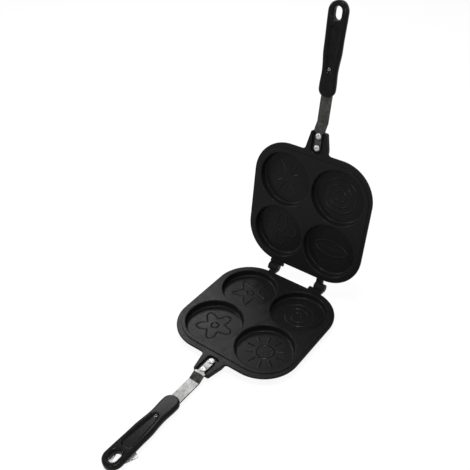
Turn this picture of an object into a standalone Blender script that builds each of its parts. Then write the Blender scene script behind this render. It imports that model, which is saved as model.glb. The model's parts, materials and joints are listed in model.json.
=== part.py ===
"""Double-sided frying pan: two cast plates with four round cups each, hinged at the back.

The pan stands open. Sizes are in metres, +Z is up, +Y points from the grips to the hinge and the
origin lies on the table under the middle of the pan. Both halves are built in one casting frame,
whose XY plane is the parting plane where the shut halves meet, with its origin at the middle of the
four cups. The upper half is the same set of pieces, turned over and opened about the hinge.
"""

import math

import bmesh
import bpy
from mathutils import Matrix

# Clearances
GAP = 0.0003
OVERRUN = 0.002
SEAT_OVERLAP = 0.001
MERGE_DISTANCE = 0.00001

# Opening of the pan
OPEN_ANGLE = math.radians(98.2)

# Plate outline
PLATE_HALF_WIDTH = 0.0900
PLATE_FRONT = 0.0925
PLATE_BACK = 0.0890
PLATE_CORNER_RADIUS = 0.0510
FLANGE_THICKNESS = 0.0030
BAND_WIDTH = 0.0043
FRONT_BAND_WIDTH = 0.0074
LAND_RISE = 0.0011

# Cups
CUP_SPACING_ACROSS = 0.0812
CUP_SPACING_ALONG = 0.0808
CUP_RIM_RADIUS = 0.0393
CUP_RIM_ROUND = 0.0008
CUP_DEPTH = 0.0098
CUP_FLOOR_FILLET = 0.0025
CUP_DRAFT = math.radians(2.5)
CUP_WALL = 0.0028
BOWL_CORNER_RADIUS = 0.0045
FOOT_RADIUS = 0.0300
FOOT_WIDTH = 0.0030
FOOT_HEIGHT = 0.0014

# Relief in the cup floors
RELIEF_RADIUS = 0.0270
RELIEF_STROKE_RADIUS = 0.0009
RELIEF_RISE = 0.0005
EYE_SHARE = 0.18
FLOWER_SHARES = (0.70, 0.22)
QUATREFOIL_SHARES = (0.66, 0.27)
SUN_SHARES = (0.42, 0.62, 0.96)
SPIRAL_SHARES = (0.14, 0.92)
STAR_SHARES = (0.96, 0.46)
CRYSTAL_SHARES = (0.22, 0.96, 0.40, 0.66)
LEAF_SHARES = (0.95, 0.42, 0.60)
LEAF_POINT_SHARE = 1.5
RIPPLE_SHARES = (0.30, 0.60, 0.90)

# Handle lug
LUG_TIP = 0.1203
LUG_BASE_HALF_WIDTH = 0.0162
LUG_TIP_HALF_WIDTH = 0.0120
LUG_TIP_ROUND = 0.0025
LUG_BASE_FILLET = 0.0060
LUG_THICKNESS = 0.0067
LUG_ROOT = 0.0700
CHANNEL_HALF_WIDTH = 0.0087
CHANNEL_END = 0.0915
CHANNEL_END_ROUND = 0.0050
CHANNEL_DEPTH = 0.00305

# Hinge
HINGE_Y = 0.1000
HINGE_X = 0.0360
EAR_RADIUS = 0.0060
EAR_WIDTH = 0.0052
TONGUE_WIDTH = 0.0100
EAR_ROOT = 0.0800
NUB_END = 0.0956
NUB_RADIUS = 0.0024
PIN_RADIUS = 0.0020
PIN_HEAD_RADIUS = 0.0033
PIN_HEAD_HEIGHT = 0.0012
PIN_CROWN_SHARE = 0.7

# Strap
STRAP_THICKNESS = 0.0020
STRAP_TONGUE_HALF_WIDTH = 0.0047
STRAP_HALF_WIDTH = 0.0079
STRAP_TANG_HALF_WIDTH = 0.0050
STRAP_SHOULDER = 0.1198
STRAP_SHOULDER_ROUND = 0.0012
STRAP_BEND = 0.1235
STRAP_BEND_RUN = 0.0090
STRAP_DROP = 0.0046
STRAP_BEND_RADIUS = 0.0030
TANG_SHOULDER = 0.1720
TANG_END = 0.2065

# Lug rivets
RIVET_PLACES = {"inner": 0.0985, "outer": 0.1147}
RIVET_RADIUS = 0.0020
RIVET_HEAD_RADIUS = 0.0042
RIVET_HEAD_HEIGHT = 0.0014
RIVET_HEAD_DOME = 0.0008

# Grip
GRIP_NOSE = 0.1656
GRIP_NOSE_DEPTH = 0.0102
GRIP_TIP = 0.2820
GRIP_END_RADIUS = 0.0133
GRIP_SWELL_SHARE = 0.115
GRIP_SWELL_HALF_WIDTH = 0.0114
GRIP_WAIST_SHARE = 0.27
GRIP_WAIST_HALF_WIDTH = 0.0105
GRIP_PALM_SHARE = 0.52
GRIP_PALM_HALF_WIDTH = 0.0125
GRIP_NOSE_TOP = -0.0018
GRIP_END_TOP = -0.0006
GRIP_BOTTOM = -0.0130
GRIP_END_BOTTOM = -0.0111
GRIP_THINNING_START = 0.2150
GRIP_THINNING_END = 0.2420
GRIP_EDGE_ROUND = 0.0034
GRIP_EDGE_TURNS = (30, 60)
GRIP_NOSE_TURNS = (78, 62, 46, 30, 15, 0)
GRIP_NECK_SHARES = (0.3, 0.7, 1)
GRIP_PALM_SHARES = (0.25, 0.5, 0.75, 1)
GRIP_BODY_SHARES = (0.5, 1)
GRIP_TIP_TURNS = (20, 38, 54, 68, 80)
GRIP_FULLNESS_SHARE = 0.8
HANG_HOLE_Y = 0.2670
HANG_HOLE_WIDTH = 0.0106
HANG_HOLE_LENGTH = 0.0160
HANG_HOLE_ROUND = 0.0029
HANG_HOLE_TURNS = (0, 30, 60, 90)
RECESS_END = 0.2535
RECESS_NOSE_HALF_WIDTH = 0.0042
RECESS_END_HALF_WIDTH = 0.0078
RECESS_FLOOR = -0.0034
RECESS_SLOPE = 0.5
GRIP_RIVET_Y = 0.2010
GRIP_RIVET_RADIUS = 0.0015
GRIP_RIVET_HEAD_RADIUS = 0.0023
GRIP_RIVET_HEAD_HEIGHT = 0.0007
GRIP_RIVET_HOLLOW_RADIUS = 0.0008
GRIP_RIVET_HOLLOW_DEPTH = 0.0012
GRIP_COUNTERBORE_DEPTH = 0.0014

# Locking clip
CLIP_PIN_Y = 0.2770
CLIP_PIN_Z = -0.0122
CLIP_PIN_RADIUS = 0.0007
CLIP_THICKNESS = 0.0010
CLIP_KNUCKLE_WALL = 0.0005
CLIP_KNUCKLE_HALF_WIDTH = 0.0045
CLIP_NOTCH_CLEARANCE = 0.0005
CLIP_EAR_WIDTH = 0.0026
CLIP_EAR_RADIUS = 0.0016
CLIP_EAR_ROOT = 0.0035
CLIP_FAN_START = 0.2740
CLIP_FAN_KNEE = 0.2635
CLIP_FAN_KNEE_HALF_WIDTH = 0.0098
CLIP_FREE_CORNER = 0.2485
CLIP_FREE_HALF_WIDTH = 0.0166
CLIP_FREE_END = 0.2440
CLIP_WINDOW_START = 0.2684
CLIP_WINDOW_START_HALF_WIDTH = 0.0046
CLIP_WINDOW_END = 0.2540
CLIP_WINDOW_END_HALF_WIDTH = 0.0070
CLIP_WINDOW_ROUND = 0.0020

# Counts of facets
CUP_STEPS = 36
BOWL_STEPS = 28
SMALL_STEPS = 16

# Levels in the casting frame
LAND_TOP = -GAP / 2
BAND_TOP = LAND_TOP - LAND_RISE
CUP_FLOOR = LAND_TOP - CUP_DEPTH
BOWL_BOTTOM = CUP_FLOOR - CUP_WALL
FOOT_BOTTOM = BOWL_BOTTOM - FOOT_HEIGHT
CHANNEL_FLOOR = BAND_TOP - CHANNEL_DEPTH
STRAP_TOP = CHANNEL_FLOOR + GAP + STRAP_THICKNESS
STRAP_LOW_TOP = STRAP_TOP - STRAP_DROP

# Directions that an outline is extruded in: its own X and Y run along the first two axes
UPWARDS = Matrix.Identity(4)
ACROSS = Matrix(((0, 0, 1, 0), (1, 0, 0, 0), (0, 1, 0, 0), (0, 0, 0, 1)))


def clear_scene():
    """Remove every object of the open file."""
    for obj in list(bpy.data.objects):
        bpy.data.objects.remove(obj)


def new_collection(name):
    """Add a collection to the scene."""
    group = bpy.data.collections.new(name)
    bpy.context.scene.collection.children.link(group)
    return group


def new_material(name, colour, roughness, metallic):
    """Make a plain Principled material."""
    material = bpy.data.materials.new(name)
    material.use_nodes = True
    shader = material.node_tree.nodes["Principled BSDF"]
    shader.inputs["Base Color"].default_value = (*colour, 1)
    shader.inputs["Roughness"].default_value = roughness
    shader.inputs["Metallic"].default_value = metallic
    return material


def arc(centre, radius, start, end, steps):
    """Give the points of an arc between two angles in degrees, both ends included."""
    turns = [math.radians(start + (end - start) * i / steps) for i in range(steps + 1)]
    return [(centre[0] + radius * math.cos(t), centre[1] + radius * math.sin(t)) for t in turns]


def rounded_rectangle(half_width, low, high, radius, steps):
    """Give the outline of a rectangle from y = low to y = high with round corners."""
    x = half_width - radius
    outline = arc((x, low + radius), radius, -90, 0, steps)
    outline += arc((x, high - radius), radius, 0, 90, steps)
    outline += arc((-x, high - radius), radius, 90, 180, steps)
    outline += arc((-x, low + radius), radius, 180, 270, steps)
    return outline


def mirrored(points):
    """Close a right-hand outline with its mirror image in the Y axis."""
    return points + [(-x, y) for x, y in reversed(points)]


def mesh_object(name, mesh):
    """Put a mesh in the cutters' collection until it is finished as a part."""
    obj = bpy.data.objects.new(name, mesh)
    CUTTERS.objects.link(obj)
    obj.hide_render = True
    obj.display_type = "WIRE"
    return obj


def mesh_of_curve(name, drawn):
    """Turn a curve object into a welded mesh object and remove the curve."""
    bpy.context.scene.collection.objects.link(drawn)
    bpy.context.view_layer.update()
    graph = bpy.context.evaluated_depsgraph_get()
    mesh = bpy.data.meshes.new_from_object(drawn.evaluated_get(graph))
    curve = drawn.data
    bpy.data.objects.remove(drawn)
    bpy.data.curves.remove(curve)
    shape = bmesh.new()
    shape.from_mesh(mesh)
    bmesh.ops.remove_doubles(shape, verts=shape.verts, dist=MERGE_DISTANCE)
    bmesh.ops.dissolve_limit(
        shape, angle_limit=math.radians(0.5), verts=shape.verts, edges=shape.edges
    )
    bmesh.ops.recalc_face_normals(shape, faces=shape.faces)
    shape.to_mesh(mesh)
    shape.free()
    return mesh_object(name, mesh)


def extruded(name, outline, low, high, direction=UPWARDS):
    """Extrude a flat outline between two levels of the direction."""
    curve = bpy.data.curves.new(name, "CURVE")
    curve.dimensions = "2D"
    curve.fill_mode = "BOTH"
    curve.extrude = (high - low) / 2
    spline = curve.splines.new("POLY")
    spline.points.add(len(outline) - 1)
    for point, (x, y) in zip(spline.points, outline):
        point.co = (x, y, 0, 1)
    spline.use_cyclic_u = True
    solid = mesh_of_curve(name, bpy.data.objects.new(name, curve))
    for vert in solid.data.vertices:
        vert.co.z = high if vert.co.z > 0 else low
    solid.data.transform(direction)
    return solid


def turned(name, profile, steps, place=UPWARDS):
    """Turn a profile of (radius, height) points, listed from top to bottom, about an upright axis."""
    mesh = bpy.data.meshes.new(name)
    verts = [(radius, 0, height) for radius, height in profile]
    mesh.from_pydata(verts, [(i, i + 1) for i in range(len(verts) - 1)], [])
    solid = mesh_object(name, mesh)
    screw = solid.modifiers.new("Turn", "SCREW")
    screw.steps = steps
    screw.render_steps = steps
    screw.use_merge_vertices = True
    screw.merge_threshold = MERGE_DISTANCE
    screw.use_smooth_shade = False
    bpy.context.view_layer.update()
    graph = bpy.context.evaluated_depsgraph_get()
    solid.data = bpy.data.meshes.new_from_object(solid.evaluated_get(graph))
    solid.modifiers.clear()
    solid.data.transform(place)
    bpy.data.meshes.remove(mesh)
    return solid


def rod(name, radius, low, high, steps, place=UPWARDS):
    """Make a plain cylinder between two levels of its own axis."""
    profile = [(0, high), (radius, high), (radius, low), (0, low)]
    return turned(name, profile, steps, place)


def tube(name, path, radius, closed):
    """Sweep a small six-sided section along a path of points."""
    curve = bpy.data.curves.new(name, "CURVE")
    curve.dimensions = "3D"
    curve.bevel_depth = radius
    curve.bevel_resolution = 1
    curve.use_fill_caps = True
    spline = curve.splines.new("POLY")
    spline.points.add(len(path) - 1)
    for point, place in zip(spline.points, path):
        point.co = (*place, 1)
    spline.use_cyclic_u = closed
    return mesh_of_curve(name, bpy.data.objects.new(name, curve))


def joined(target, others):
    """Unite solids with the target."""
    for other in others:
        add_boolean(target, other, "UNION")


def cut(target, others):
    """Cut solids out of the target."""
    for other in others:
        add_boolean(target, other, "DIFFERENCE")


def add_boolean(target, other, operation):
    """Add one Boolean step whose second solid rides on the target."""
    step = target.modifiers.new(operation.title(), "BOOLEAN")
    step.operation = operation
    step.solver = "EXACT"
    step.object = other
    other.parent = target


def finished(obj, material, carrier):
    """Make a solid a named part: its material, its shading, its collection and what carries it."""
    CUTTERS.objects.unlink(obj)
    PAN.objects.link(obj)
    obj.hide_render = False
    obj.display_type = "TEXTURED"
    obj.data.materials.clear()
    obj.data.materials.append(material)
    obj.data.shade_smooth()
    obj.data.set_sharp_from_angle(angle=math.radians(30))
    obj.parent = carrier
    return obj


def cup_centres():
    """Give the middle of each cup, front left first."""
    x = CUP_SPACING_ACROSS / 2
    y = CUP_SPACING_ALONG / 2
    return [(-x, -y), (x, -y), (x, y), (-x, y)]


def cup_cutter(name, centre):
    """Make the space of one cup: a drafted wall, a filleted floor and a round rim."""
    wall_top = CUP_RIM_RADIUS - CUP_RIM_ROUND
    wall_low = wall_top - (CUP_DEPTH - CUP_RIM_ROUND) * math.tan(CUP_DRAFT)
    fillet_centre = (wall_low - CUP_FLOOR_FILLET, CUP_FLOOR + CUP_FLOOR_FILLET)
    fillet = arc(fillet_centre, CUP_FLOOR_FILLET, 0, -90, 2)
    profile = [(0, LAND_TOP + OVERRUN), (CUP_RIM_RADIUS + OVERRUN, LAND_TOP + OVERRUN)]
    profile += [(wall_top, LAND_TOP - CUP_RIM_ROUND)] + fillet + [(0, CUP_FLOOR)]
    return turned(name, profile, CUP_STEPS, Matrix.Translation((*centre, 0)))


def bowl(name, centre):
    """Make the outside of one cup, with the foot ring that the pan stands on."""
    radius = CUP_RIM_RADIUS + CUP_WALL
    corner_centre = (radius - BOWL_CORNER_RADIUS, BOWL_BOTTOM + BOWL_CORNER_RADIUS)
    corner = arc(corner_centre, BOWL_CORNER_RADIUS, 0, -90, 2)
    foot_outer = FOOT_RADIUS + FOOT_WIDTH / 2
    foot_inner = FOOT_RADIUS - FOOT_WIDTH / 2
    profile = [(0, BAND_TOP - SEAT_OVERLAP), (radius, BAND_TOP - SEAT_OVERLAP)] + corner
    profile += [(foot_outer, BOWL_BOTTOM), (foot_outer, FOOT_BOTTOM)]
    profile += [(foot_inner, FOOT_BOTTOM), (foot_inner, BOWL_BOTTOM), (0, BOWL_BOTTOM)]
    return turned(name, profile, BOWL_STEPS, Matrix.Translation((*centre, 0)))


def lobed_line(mean_share, swing_share, lobes, steps):
    """Give a closed wavy line round the middle, in shares of the relief's radius."""
    line = []
    for i in range(steps):
        turn = 2 * math.pi * i / steps
        reach = mean_share + swing_share * math.cos(lobes * turn)
        line.append((reach * math.cos(turn), reach * math.sin(turn)))
    return line, True


def star_line(tip_share, notch_share, points):
    """Give a closed star with curved sides."""
    line = []
    for i in range(6 * points):
        turn = 2 * math.pi * i / (6 * points)
        dip = (tip_share - notch_share) * abs(math.sin(points * turn / 2))
        line.append(((tip_share - dip) * math.cos(turn), (tip_share - dip) * math.sin(turn)))
    return line, True


def ray_lines(inner_share, outer_share, count, first_turn):
    """Give straight strokes that point away from the middle."""
    lines = []
    for i in range(count):
        turn = first_turn + 2 * math.pi * i / count
        ends = [(share * math.cos(turn), share * math.sin(turn)) for share in (inner_share, outer_share)]
        lines.append((ends, False))
    return lines


def spiral_line(inner_share, outer_share, turns, steps):
    """Give an open spiral."""
    line = []
    for i in range(steps + 1):
        reach = inner_share + (outer_share - inner_share) * i / steps
        turn = 2 * math.pi * turns * i / steps
        line.append((reach * math.cos(turn), reach * math.sin(turn)))
    return line, False


def leaf_lines(length_share, width_share, rib_share, steps):
    """Give a pointed leaf and its middle rib."""
    edge = []
    for i in range(steps):
        turn = 2 * math.pi * i / steps
        bulge = math.copysign(abs(math.sin(turn)) ** LEAF_POINT_SHARE, math.sin(turn))
        edge.append((length_share * math.cos(turn), width_share * bulge))
    return [(edge, True), ([(-rib_share, 0), (rib_share, 0)], False)]


def relief_lines(motif):
    """Give the strokes of one motif."""
    if motif == "flower":
        return [lobed_line(*FLOWER_SHARES, 5, 40), lobed_line(EYE_SHARE, 0, 1, 10)]
    if motif == "quatrefoil":
        return [lobed_line(*QUATREFOIL_SHARES, 4, 40), lobed_line(EYE_SHARE, 0, 1, 10)]
    if motif == "sun":
        disc, inner, outer = SUN_SHARES
        return [lobed_line(disc, 0, 1, 20)] + ray_lines(inner, outer, 10, 0)
    if motif == "spiral":
        return [spiral_line(*SPIRAL_SHARES, 2.5, 40)]
    if motif == "star":
        return [star_line(*STAR_SHARES, 5), lobed_line(EYE_SHARE, 0, 1, 10)]
    if motif == "crystal":
        inner, outer, low, high = CRYSTAL_SHARES
        return ray_lines(inner, outer, 6, 0) + ray_lines(low, high, 6, math.pi / 6)
    if motif == "leaf":
        return leaf_lines(*LEAF_SHARES, 24)
    return [lobed_line(share, 0, 1, 24) for share in RIPPLE_SHARES]


def relief(prefix, motif, centre):
    """Make one motif as raised beads, half sunk into the cup's floor."""
    height = CUP_FLOOR + RELIEF_RISE - RELIEF_STROKE_RADIUS
    beads = []
    for i, (line, closed) in enumerate(relief_lines(motif)):
        path = [(centre[0] + RELIEF_RADIUS * x, centre[1] + RELIEF_RADIUS * y, height) for x, y in line]
        beads.append(tube("%s_%s_%d" % (prefix, motif, i), path, RELIEF_STROKE_RADIUS, closed))
    return beads


def lug_outline():
    """Give the lug's plan: filleted into the plate's front edge and tapering to a round tip."""
    edge = -PLATE_FRONT
    base = LUG_BASE_HALF_WIDTH
    fillet = arc((base + LUG_BASE_FILLET, edge - LUG_BASE_FILLET), LUG_BASE_FILLET, 90, 180, 4)
    tip_centre = (LUG_TIP_HALF_WIDTH - LUG_TIP_ROUND, -LUG_TIP + LUG_TIP_ROUND)
    tip = arc(tip_centre, LUG_TIP_ROUND, 0, -90, 3)
    root = [(base, -LUG_ROOT), (base, edge + SEAT_OVERLAP), (base + LUG_BASE_FILLET, edge + SEAT_OVERLAP)]
    return mirrored(root + fillet + tip)


def channel_outline():
    """Give the plan of the open channel that the strap's tongue lies in."""
    corner = (CHANNEL_HALF_WIDTH - CHANNEL_END_ROUND, -CHANNEL_END - CHANNEL_END_ROUND)
    side = [(CHANNEL_HALF_WIDTH, -LUG_TIP - OVERRUN)]
    return mirrored(side + arc(corner, CHANNEL_END_ROUND, 0, 90, 4))


def hinge_outline(corner):
    """Give the side view of a fork or tongue: a round end that runs back under the plate's edge.

    The corner is a list of points that takes the place of the round between its own angles.
    """
    root = [(EAR_ROOT, BAND_TOP - SEAT_OVERLAP), (EAR_ROOT, BAND_TOP - FLANGE_THICKNESS + SEAT_OVERLAP)]
    top = [(PLATE_BACK, LAND_TOP), (PLATE_BACK - LAND_RISE, BAND_TOP - SEAT_OVERLAP)]
    end = 180 + math.degrees(math.asin(-LAND_TOP / EAR_RADIUS))
    low = math.degrees(math.pi / 2 - OPEN_ANGLE)
    centre = (HINGE_Y, 0)
    front = arc(centre, EAR_RADIUS, -90, low, 5)
    over = arc(centre, EAR_RADIUS, low, low + 90, 5)[1:-1]
    back = arc(centre, EAR_RADIUS, low + 90, end, 5)
    return root + front + (corner or over) + back + top


def heel_corner():
    """Give the tongue's square corner, which meets the fork's web when the pan is open."""
    turn = math.pi / 2 - OPEN_ANGLE + math.pi / 4
    reach = EAR_RADIUS * math.sqrt(2)
    return [(HINGE_Y + reach * math.cos(turn), reach * math.sin(turn))]


def hinge_shapes(prefix):
    """Make the fork on the right and the tongue on the left, with the cuts that they need.

    The fork has one full ear on its outer side and a low nub on its inner side.
    """
    slot = TONGUE_WIDTH / 2 + GAP
    outer = slot + EAR_WIDTH
    half = TONGUE_WIDTH / 2
    tongue_outline = hinge_outline(heel_corner())
    adds = [
        extruded(prefix + "_fork", hinge_outline([]), HINGE_X - outer, HINGE_X + outer, ACROSS),
        extruded(prefix + "_tongue", tongue_outline, -HINGE_X - half, -HINGE_X + half, ACROSS),
    ]
    web_back = HINGE_Y - EAR_RADIUS - GAP
    beyond = HINGE_Y + EAR_RADIUS + OVERRUN
    tall = EAR_RADIUS + OVERRUN
    gap_outline = [(web_back, -tall), (beyond, -tall), (beyond, tall), (web_back, tall)]
    nub_centre = (NUB_END - NUB_RADIUS, LAND_TOP - NUB_RADIUS)
    nub_outline = [(beyond, tall), (nub_centre[0], tall)]
    nub_outline += arc(nub_centre, NUB_RADIUS, 90, -90, 6)
    nub_outline += [(nub_centre[0], -tall), (beyond, -tall)]
    inner = HINGE_X - outer - OVERRUN
    cuts = [
        extruded(prefix + "_fork_slot", gap_outline, HINGE_X - slot, HINGE_X + slot, ACROSS),
        extruded(prefix + "_nub_cut", nub_outline, inner, HINGE_X - slot + OVERRUN, ACROSS),
    ]
    for side, x in (("right", HINGE_X), ("left", -HINGE_X)):
        place = Matrix.Translation((x, HINGE_Y, 0)) @ ACROSS
        reach = outer + OVERRUN
        name = "%s_%s_bore" % (prefix, side)
        cuts.append(rod(name, PIN_RADIUS + GAP, -reach, reach, SMALL_STEPS, place))
    return adds, cuts


def build_plate(prefix, carrier, motifs):
    """Build one cast plate with a motif in each cup."""
    plate = extruded(
        prefix + "_plate",
        rounded_rectangle(PLATE_HALF_WIDTH, -PLATE_FRONT, PLATE_BACK, PLATE_CORNER_RADIUS, 12),
        BAND_TOP - FLANGE_THICKNESS,
        BAND_TOP,
    )
    land = extruded(
        prefix + "_land",
        rounded_rectangle(
            PLATE_HALF_WIDTH - BAND_WIDTH,
            FRONT_BAND_WIDTH - PLATE_FRONT,
            PLATE_BACK - BAND_WIDTH,
            PLATE_CORNER_RADIUS - BAND_WIDTH,
            12,
        ),
        BAND_TOP - SEAT_OVERLAP,
        LAND_TOP,
    )
    lug_low = BAND_TOP - LUG_THICKNESS
    lug = extruded(prefix + "_lug", lug_outline(), lug_low, BAND_TOP)
    bowls = [bowl(prefix + "_bowl_%d" % i, centre) for i, centre in enumerate(cup_centres())]
    hinge, bores = hinge_shapes(prefix)
    joined(plate, [land, lug] + bowls + hinge)
    cups = [cup_cutter(prefix + "_cup_%d" % i, centre) for i, centre in enumerate(cup_centres())]
    channel = extruded(prefix + "_channel", channel_outline(), CHANNEL_FLOOR, OVERRUN)
    holes = [
        rod(
            prefix + "_%s_rivet_hole" % name,
            RIVET_RADIUS + GAP,
            lug_low - OVERRUN,
            CHANNEL_FLOOR + OVERRUN,
            SMALL_STEPS,
            Matrix.Translation((0, -y, 0)),
        )
        for name, y in RIVET_PLACES.items()
    ]
    cut(plate, cups + [channel] + bores + holes)
    for motif, centre in zip(motifs, cup_centres()):
        joined(plate, relief(prefix, motif, centre))
    return finished(plate, CASTING, carrier)


def build_hinge_pin(name, carrier):
    """Build one pin through the ear on the right of its own half and the other half's tongue."""
    inner = TONGUE_WIDTH / 2 + GAP
    outer = inner + EAR_WIDTH + GAP
    crown = PIN_HEAD_RADIUS * PIN_CROWN_SHARE
    profile = [(0, outer + PIN_HEAD_HEIGHT), (crown, outer + PIN_HEAD_HEIGHT)]
    profile += [(PIN_HEAD_RADIUS, outer + PIN_HEAD_HEIGHT / 2), (PIN_HEAD_RADIUS, outer)]
    profile += [(PIN_RADIUS, outer), (PIN_RADIUS, -inner), (PIN_HEAD_RADIUS, -inner)]
    profile += [(PIN_HEAD_RADIUS, -inner - PIN_HEAD_HEIGHT / 2), (crown, -inner - PIN_HEAD_HEIGHT)]
    profile += [(0, -inner - PIN_HEAD_HEIGHT)]
    place = Matrix.Translation((HINGE_X, HINGE_Y, 0)) @ ACROSS
    return finished(turned(name, profile, SMALL_STEPS, place), STEEL, carrier)


def strap_side():
    """Give the strap's side view: flat in the lug, stepped down, then straight into the grip."""
    half = STRAP_THICKNESS / 2
    high = STRAP_TOP - half
    low = STRAP_LOW_TOP - half
    slope = math.atan2(STRAP_DROP, STRAP_BEND_RUN)
    degrees = math.degrees(slope)
    setback = STRAP_BEND_RADIUS * math.tan(slope / 2)
    first = (-STRAP_BEND + setback, high - STRAP_BEND_RADIUS)
    second = (-STRAP_BEND - STRAP_BEND_RUN - setback, low + STRAP_BEND_RADIUS)
    start = -RIVET_PLACES["inner"] + STRAP_TONGUE_HALF_WIDTH + OVERRUN
    tang_end = -TANG_END - OVERRUN
    top = [(start, STRAP_TOP)] + arc(first, STRAP_BEND_RADIUS + half, 90, 90 + degrees, 3)
    top += arc(second, STRAP_BEND_RADIUS - half, degrees - 90, -90, 3) + [(tang_end, STRAP_LOW_TOP)]
    under = [(tang_end, STRAP_LOW_TOP - STRAP_THICKNESS)]
    under += arc(second, STRAP_BEND_RADIUS + half, -90, degrees - 90, 3)
    under += arc(first, STRAP_BEND_RADIUS - half, 90 + degrees, 90, 3)
    under += [(start, STRAP_TOP - STRAP_THICKNESS)]
    return top + under


def strap_plan():
    """Give the strap's plan: a round tongue, the full width, then the tang."""
    inner = -RIVET_PLACES["inner"]
    corner = (STRAP_HALF_WIDTH - STRAP_SHOULDER_ROUND, -STRAP_SHOULDER - STRAP_SHOULDER_ROUND)
    right = arc((0, inner), STRAP_TONGUE_HALF_WIDTH, 80, 0, 6)
    right += [(STRAP_TONGUE_HALF_WIDTH, -STRAP_SHOULDER)]
    right += arc(corner, STRAP_SHOULDER_ROUND, 90, 0, 2)
    right += [(STRAP_HALF_WIDTH, -TANG_SHOULDER), (STRAP_TANG_HALF_WIDTH, -TANG_SHOULDER)]
    right += [(STRAP_TANG_HALF_WIDTH, -TANG_END)]
    return mirrored(right)


def build_strap(prefix, carrier):
    """Build one bent steel strap with its rivet holes."""
    wide = STRAP_HALF_WIDTH + OVERRUN
    strap = extruded(prefix + "_strap", strap_side(), -wide, wide, ACROSS)
    low = STRAP_LOW_TOP - STRAP_THICKNESS - OVERRUN
    add_boolean(strap, extruded(prefix + "_strap_plan", strap_plan(), low, OVERRUN), "INTERSECT")
    holes = [
        rod(
            prefix + "_%s_strap_hole" % name,
            RIVET_RADIUS + GAP,
            STRAP_TOP - STRAP_THICKNESS - OVERRUN,
            OVERRUN,
            SMALL_STEPS,
            Matrix.Translation((0, -y, 0)),
        )
        for name, y in RIVET_PLACES.items()
    ]
    holes.append(
        rod(
            prefix + "_tang_hole",
            GRIP_RIVET_RADIUS + GAP,
            low,
            STRAP_LOW_TOP + OVERRUN,
            SMALL_STEPS,
            Matrix.Translation((0, -GRIP_RIVET_Y, 0)),
        )
    )
    cut(strap, holes)
    return finished(strap, STEEL, carrier)


def build_lug_rivet(name, y, carrier):
    """Build one solid rivet with a domed head on the strap and another under the lug."""
    seat = STRAP_TOP + GAP
    under = BAND_TOP - LUG_THICKNESS - GAP
    crown = RIVET_HEAD_RADIUS - RIVET_HEAD_DOME
    profile = [(0, seat + RIVET_HEAD_HEIGHT), (crown, seat + RIVET_HEAD_HEIGHT)]
    profile += [(RIVET_HEAD_RADIUS, seat + RIVET_HEAD_HEIGHT - RIVET_HEAD_DOME)]
    profile += [(RIVET_HEAD_RADIUS, seat), (RIVET_RADIUS, seat), (RIVET_RADIUS, under)]
    profile += [(RIVET_HEAD_RADIUS, under)]
    profile += [(RIVET_HEAD_RADIUS, under - RIVET_HEAD_HEIGHT + RIVET_HEAD_DOME)]
    profile += [(crown, under - RIVET_HEAD_HEIGHT), (0, under - RIVET_HEAD_HEIGHT)]
    rivet = turned(name, profile, SMALL_STEPS, Matrix.Translation((0, -y, 0)))
    return finished(rivet, ALUMINIUM, carrier)


def edge_inset(depth, radius):
    """Give how far a round edge still draws in at a depth behind an end face."""
    if depth >= radius:
        return 0
    return radius - math.sqrt(radius**2 - (radius - depth) ** 2)


def eased(start, end, share):
    """Give a value between two, easing out of the first and into the second."""
    return start + (end - start) * (1 - math.cos(math.pi * share)) / 2


def grip_stations():
    """Give (y, half width, top, bottom) along the grip from its nose to its tip."""
    length = GRIP_TIP - GRIP_NOSE
    swell = GRIP_NOSE + length * GRIP_SWELL_SHARE
    waist = GRIP_NOSE + length * GRIP_WAIST_SHARE
    palm = GRIP_NOSE + length * GRIP_PALM_SHARE
    tip_centre = GRIP_TIP - GRIP_END_RADIUS
    stations = []
    for degrees in GRIP_NOSE_TURNS:
        along = GRIP_NOSE_DEPTH * (1 - math.sin(math.radians(degrees)))
        width = GRIP_SWELL_HALF_WIDTH * math.cos(math.radians(degrees))
        stations.append((GRIP_NOSE + along, width, edge_inset(along, GRIP_EDGE_ROUND)))
    stations.append((swell, GRIP_SWELL_HALF_WIDTH, 0))
    reaches = [
        (swell, GRIP_SWELL_HALF_WIDTH, waist, GRIP_WAIST_HALF_WIDTH, GRIP_NECK_SHARES),
        (waist, GRIP_WAIST_HALF_WIDTH, palm, GRIP_PALM_HALF_WIDTH, GRIP_PALM_SHARES),
        (palm, GRIP_PALM_HALF_WIDTH, tip_centre, GRIP_END_RADIUS, GRIP_BODY_SHARES),
    ]
    for start, start_width, end, end_width, shares in reaches:
        for share in shares:
            stations.append((start + (end - start) * share, eased(start_width, end_width, share), 0))
    for degrees in GRIP_TIP_TURNS:
        along = GRIP_END_RADIUS * math.sin(math.radians(degrees))
        inset = edge_inset(GRIP_END_RADIUS - along, GRIP_EDGE_ROUND)
        width = GRIP_END_RADIUS * math.cos(math.radians(degrees))
        stations.append((tip_centre + along, width, inset))
    return [(y, width, grip_top(y) - inset, grip_bottom(y) + inset) for y, width, inset in stations]


def grip_top(y):
    """Give the level of the grip's flat inner face."""
    share = (y - GRIP_NOSE) / (GRIP_TIP - GRIP_NOSE)
    return GRIP_NOSE_TOP + (GRIP_END_TOP - GRIP_NOSE_TOP) * share


def grip_bottom(y):
    """Give the level of the grip's outer side, thinner over the clip."""
    share = (y - GRIP_THINNING_START) / (GRIP_THINNING_END - GRIP_THINNING_START)
    share = min(1, max(0, share))
    return GRIP_BOTTOM + (GRIP_END_BOTTOM - GRIP_BOTTOM) * share


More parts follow.
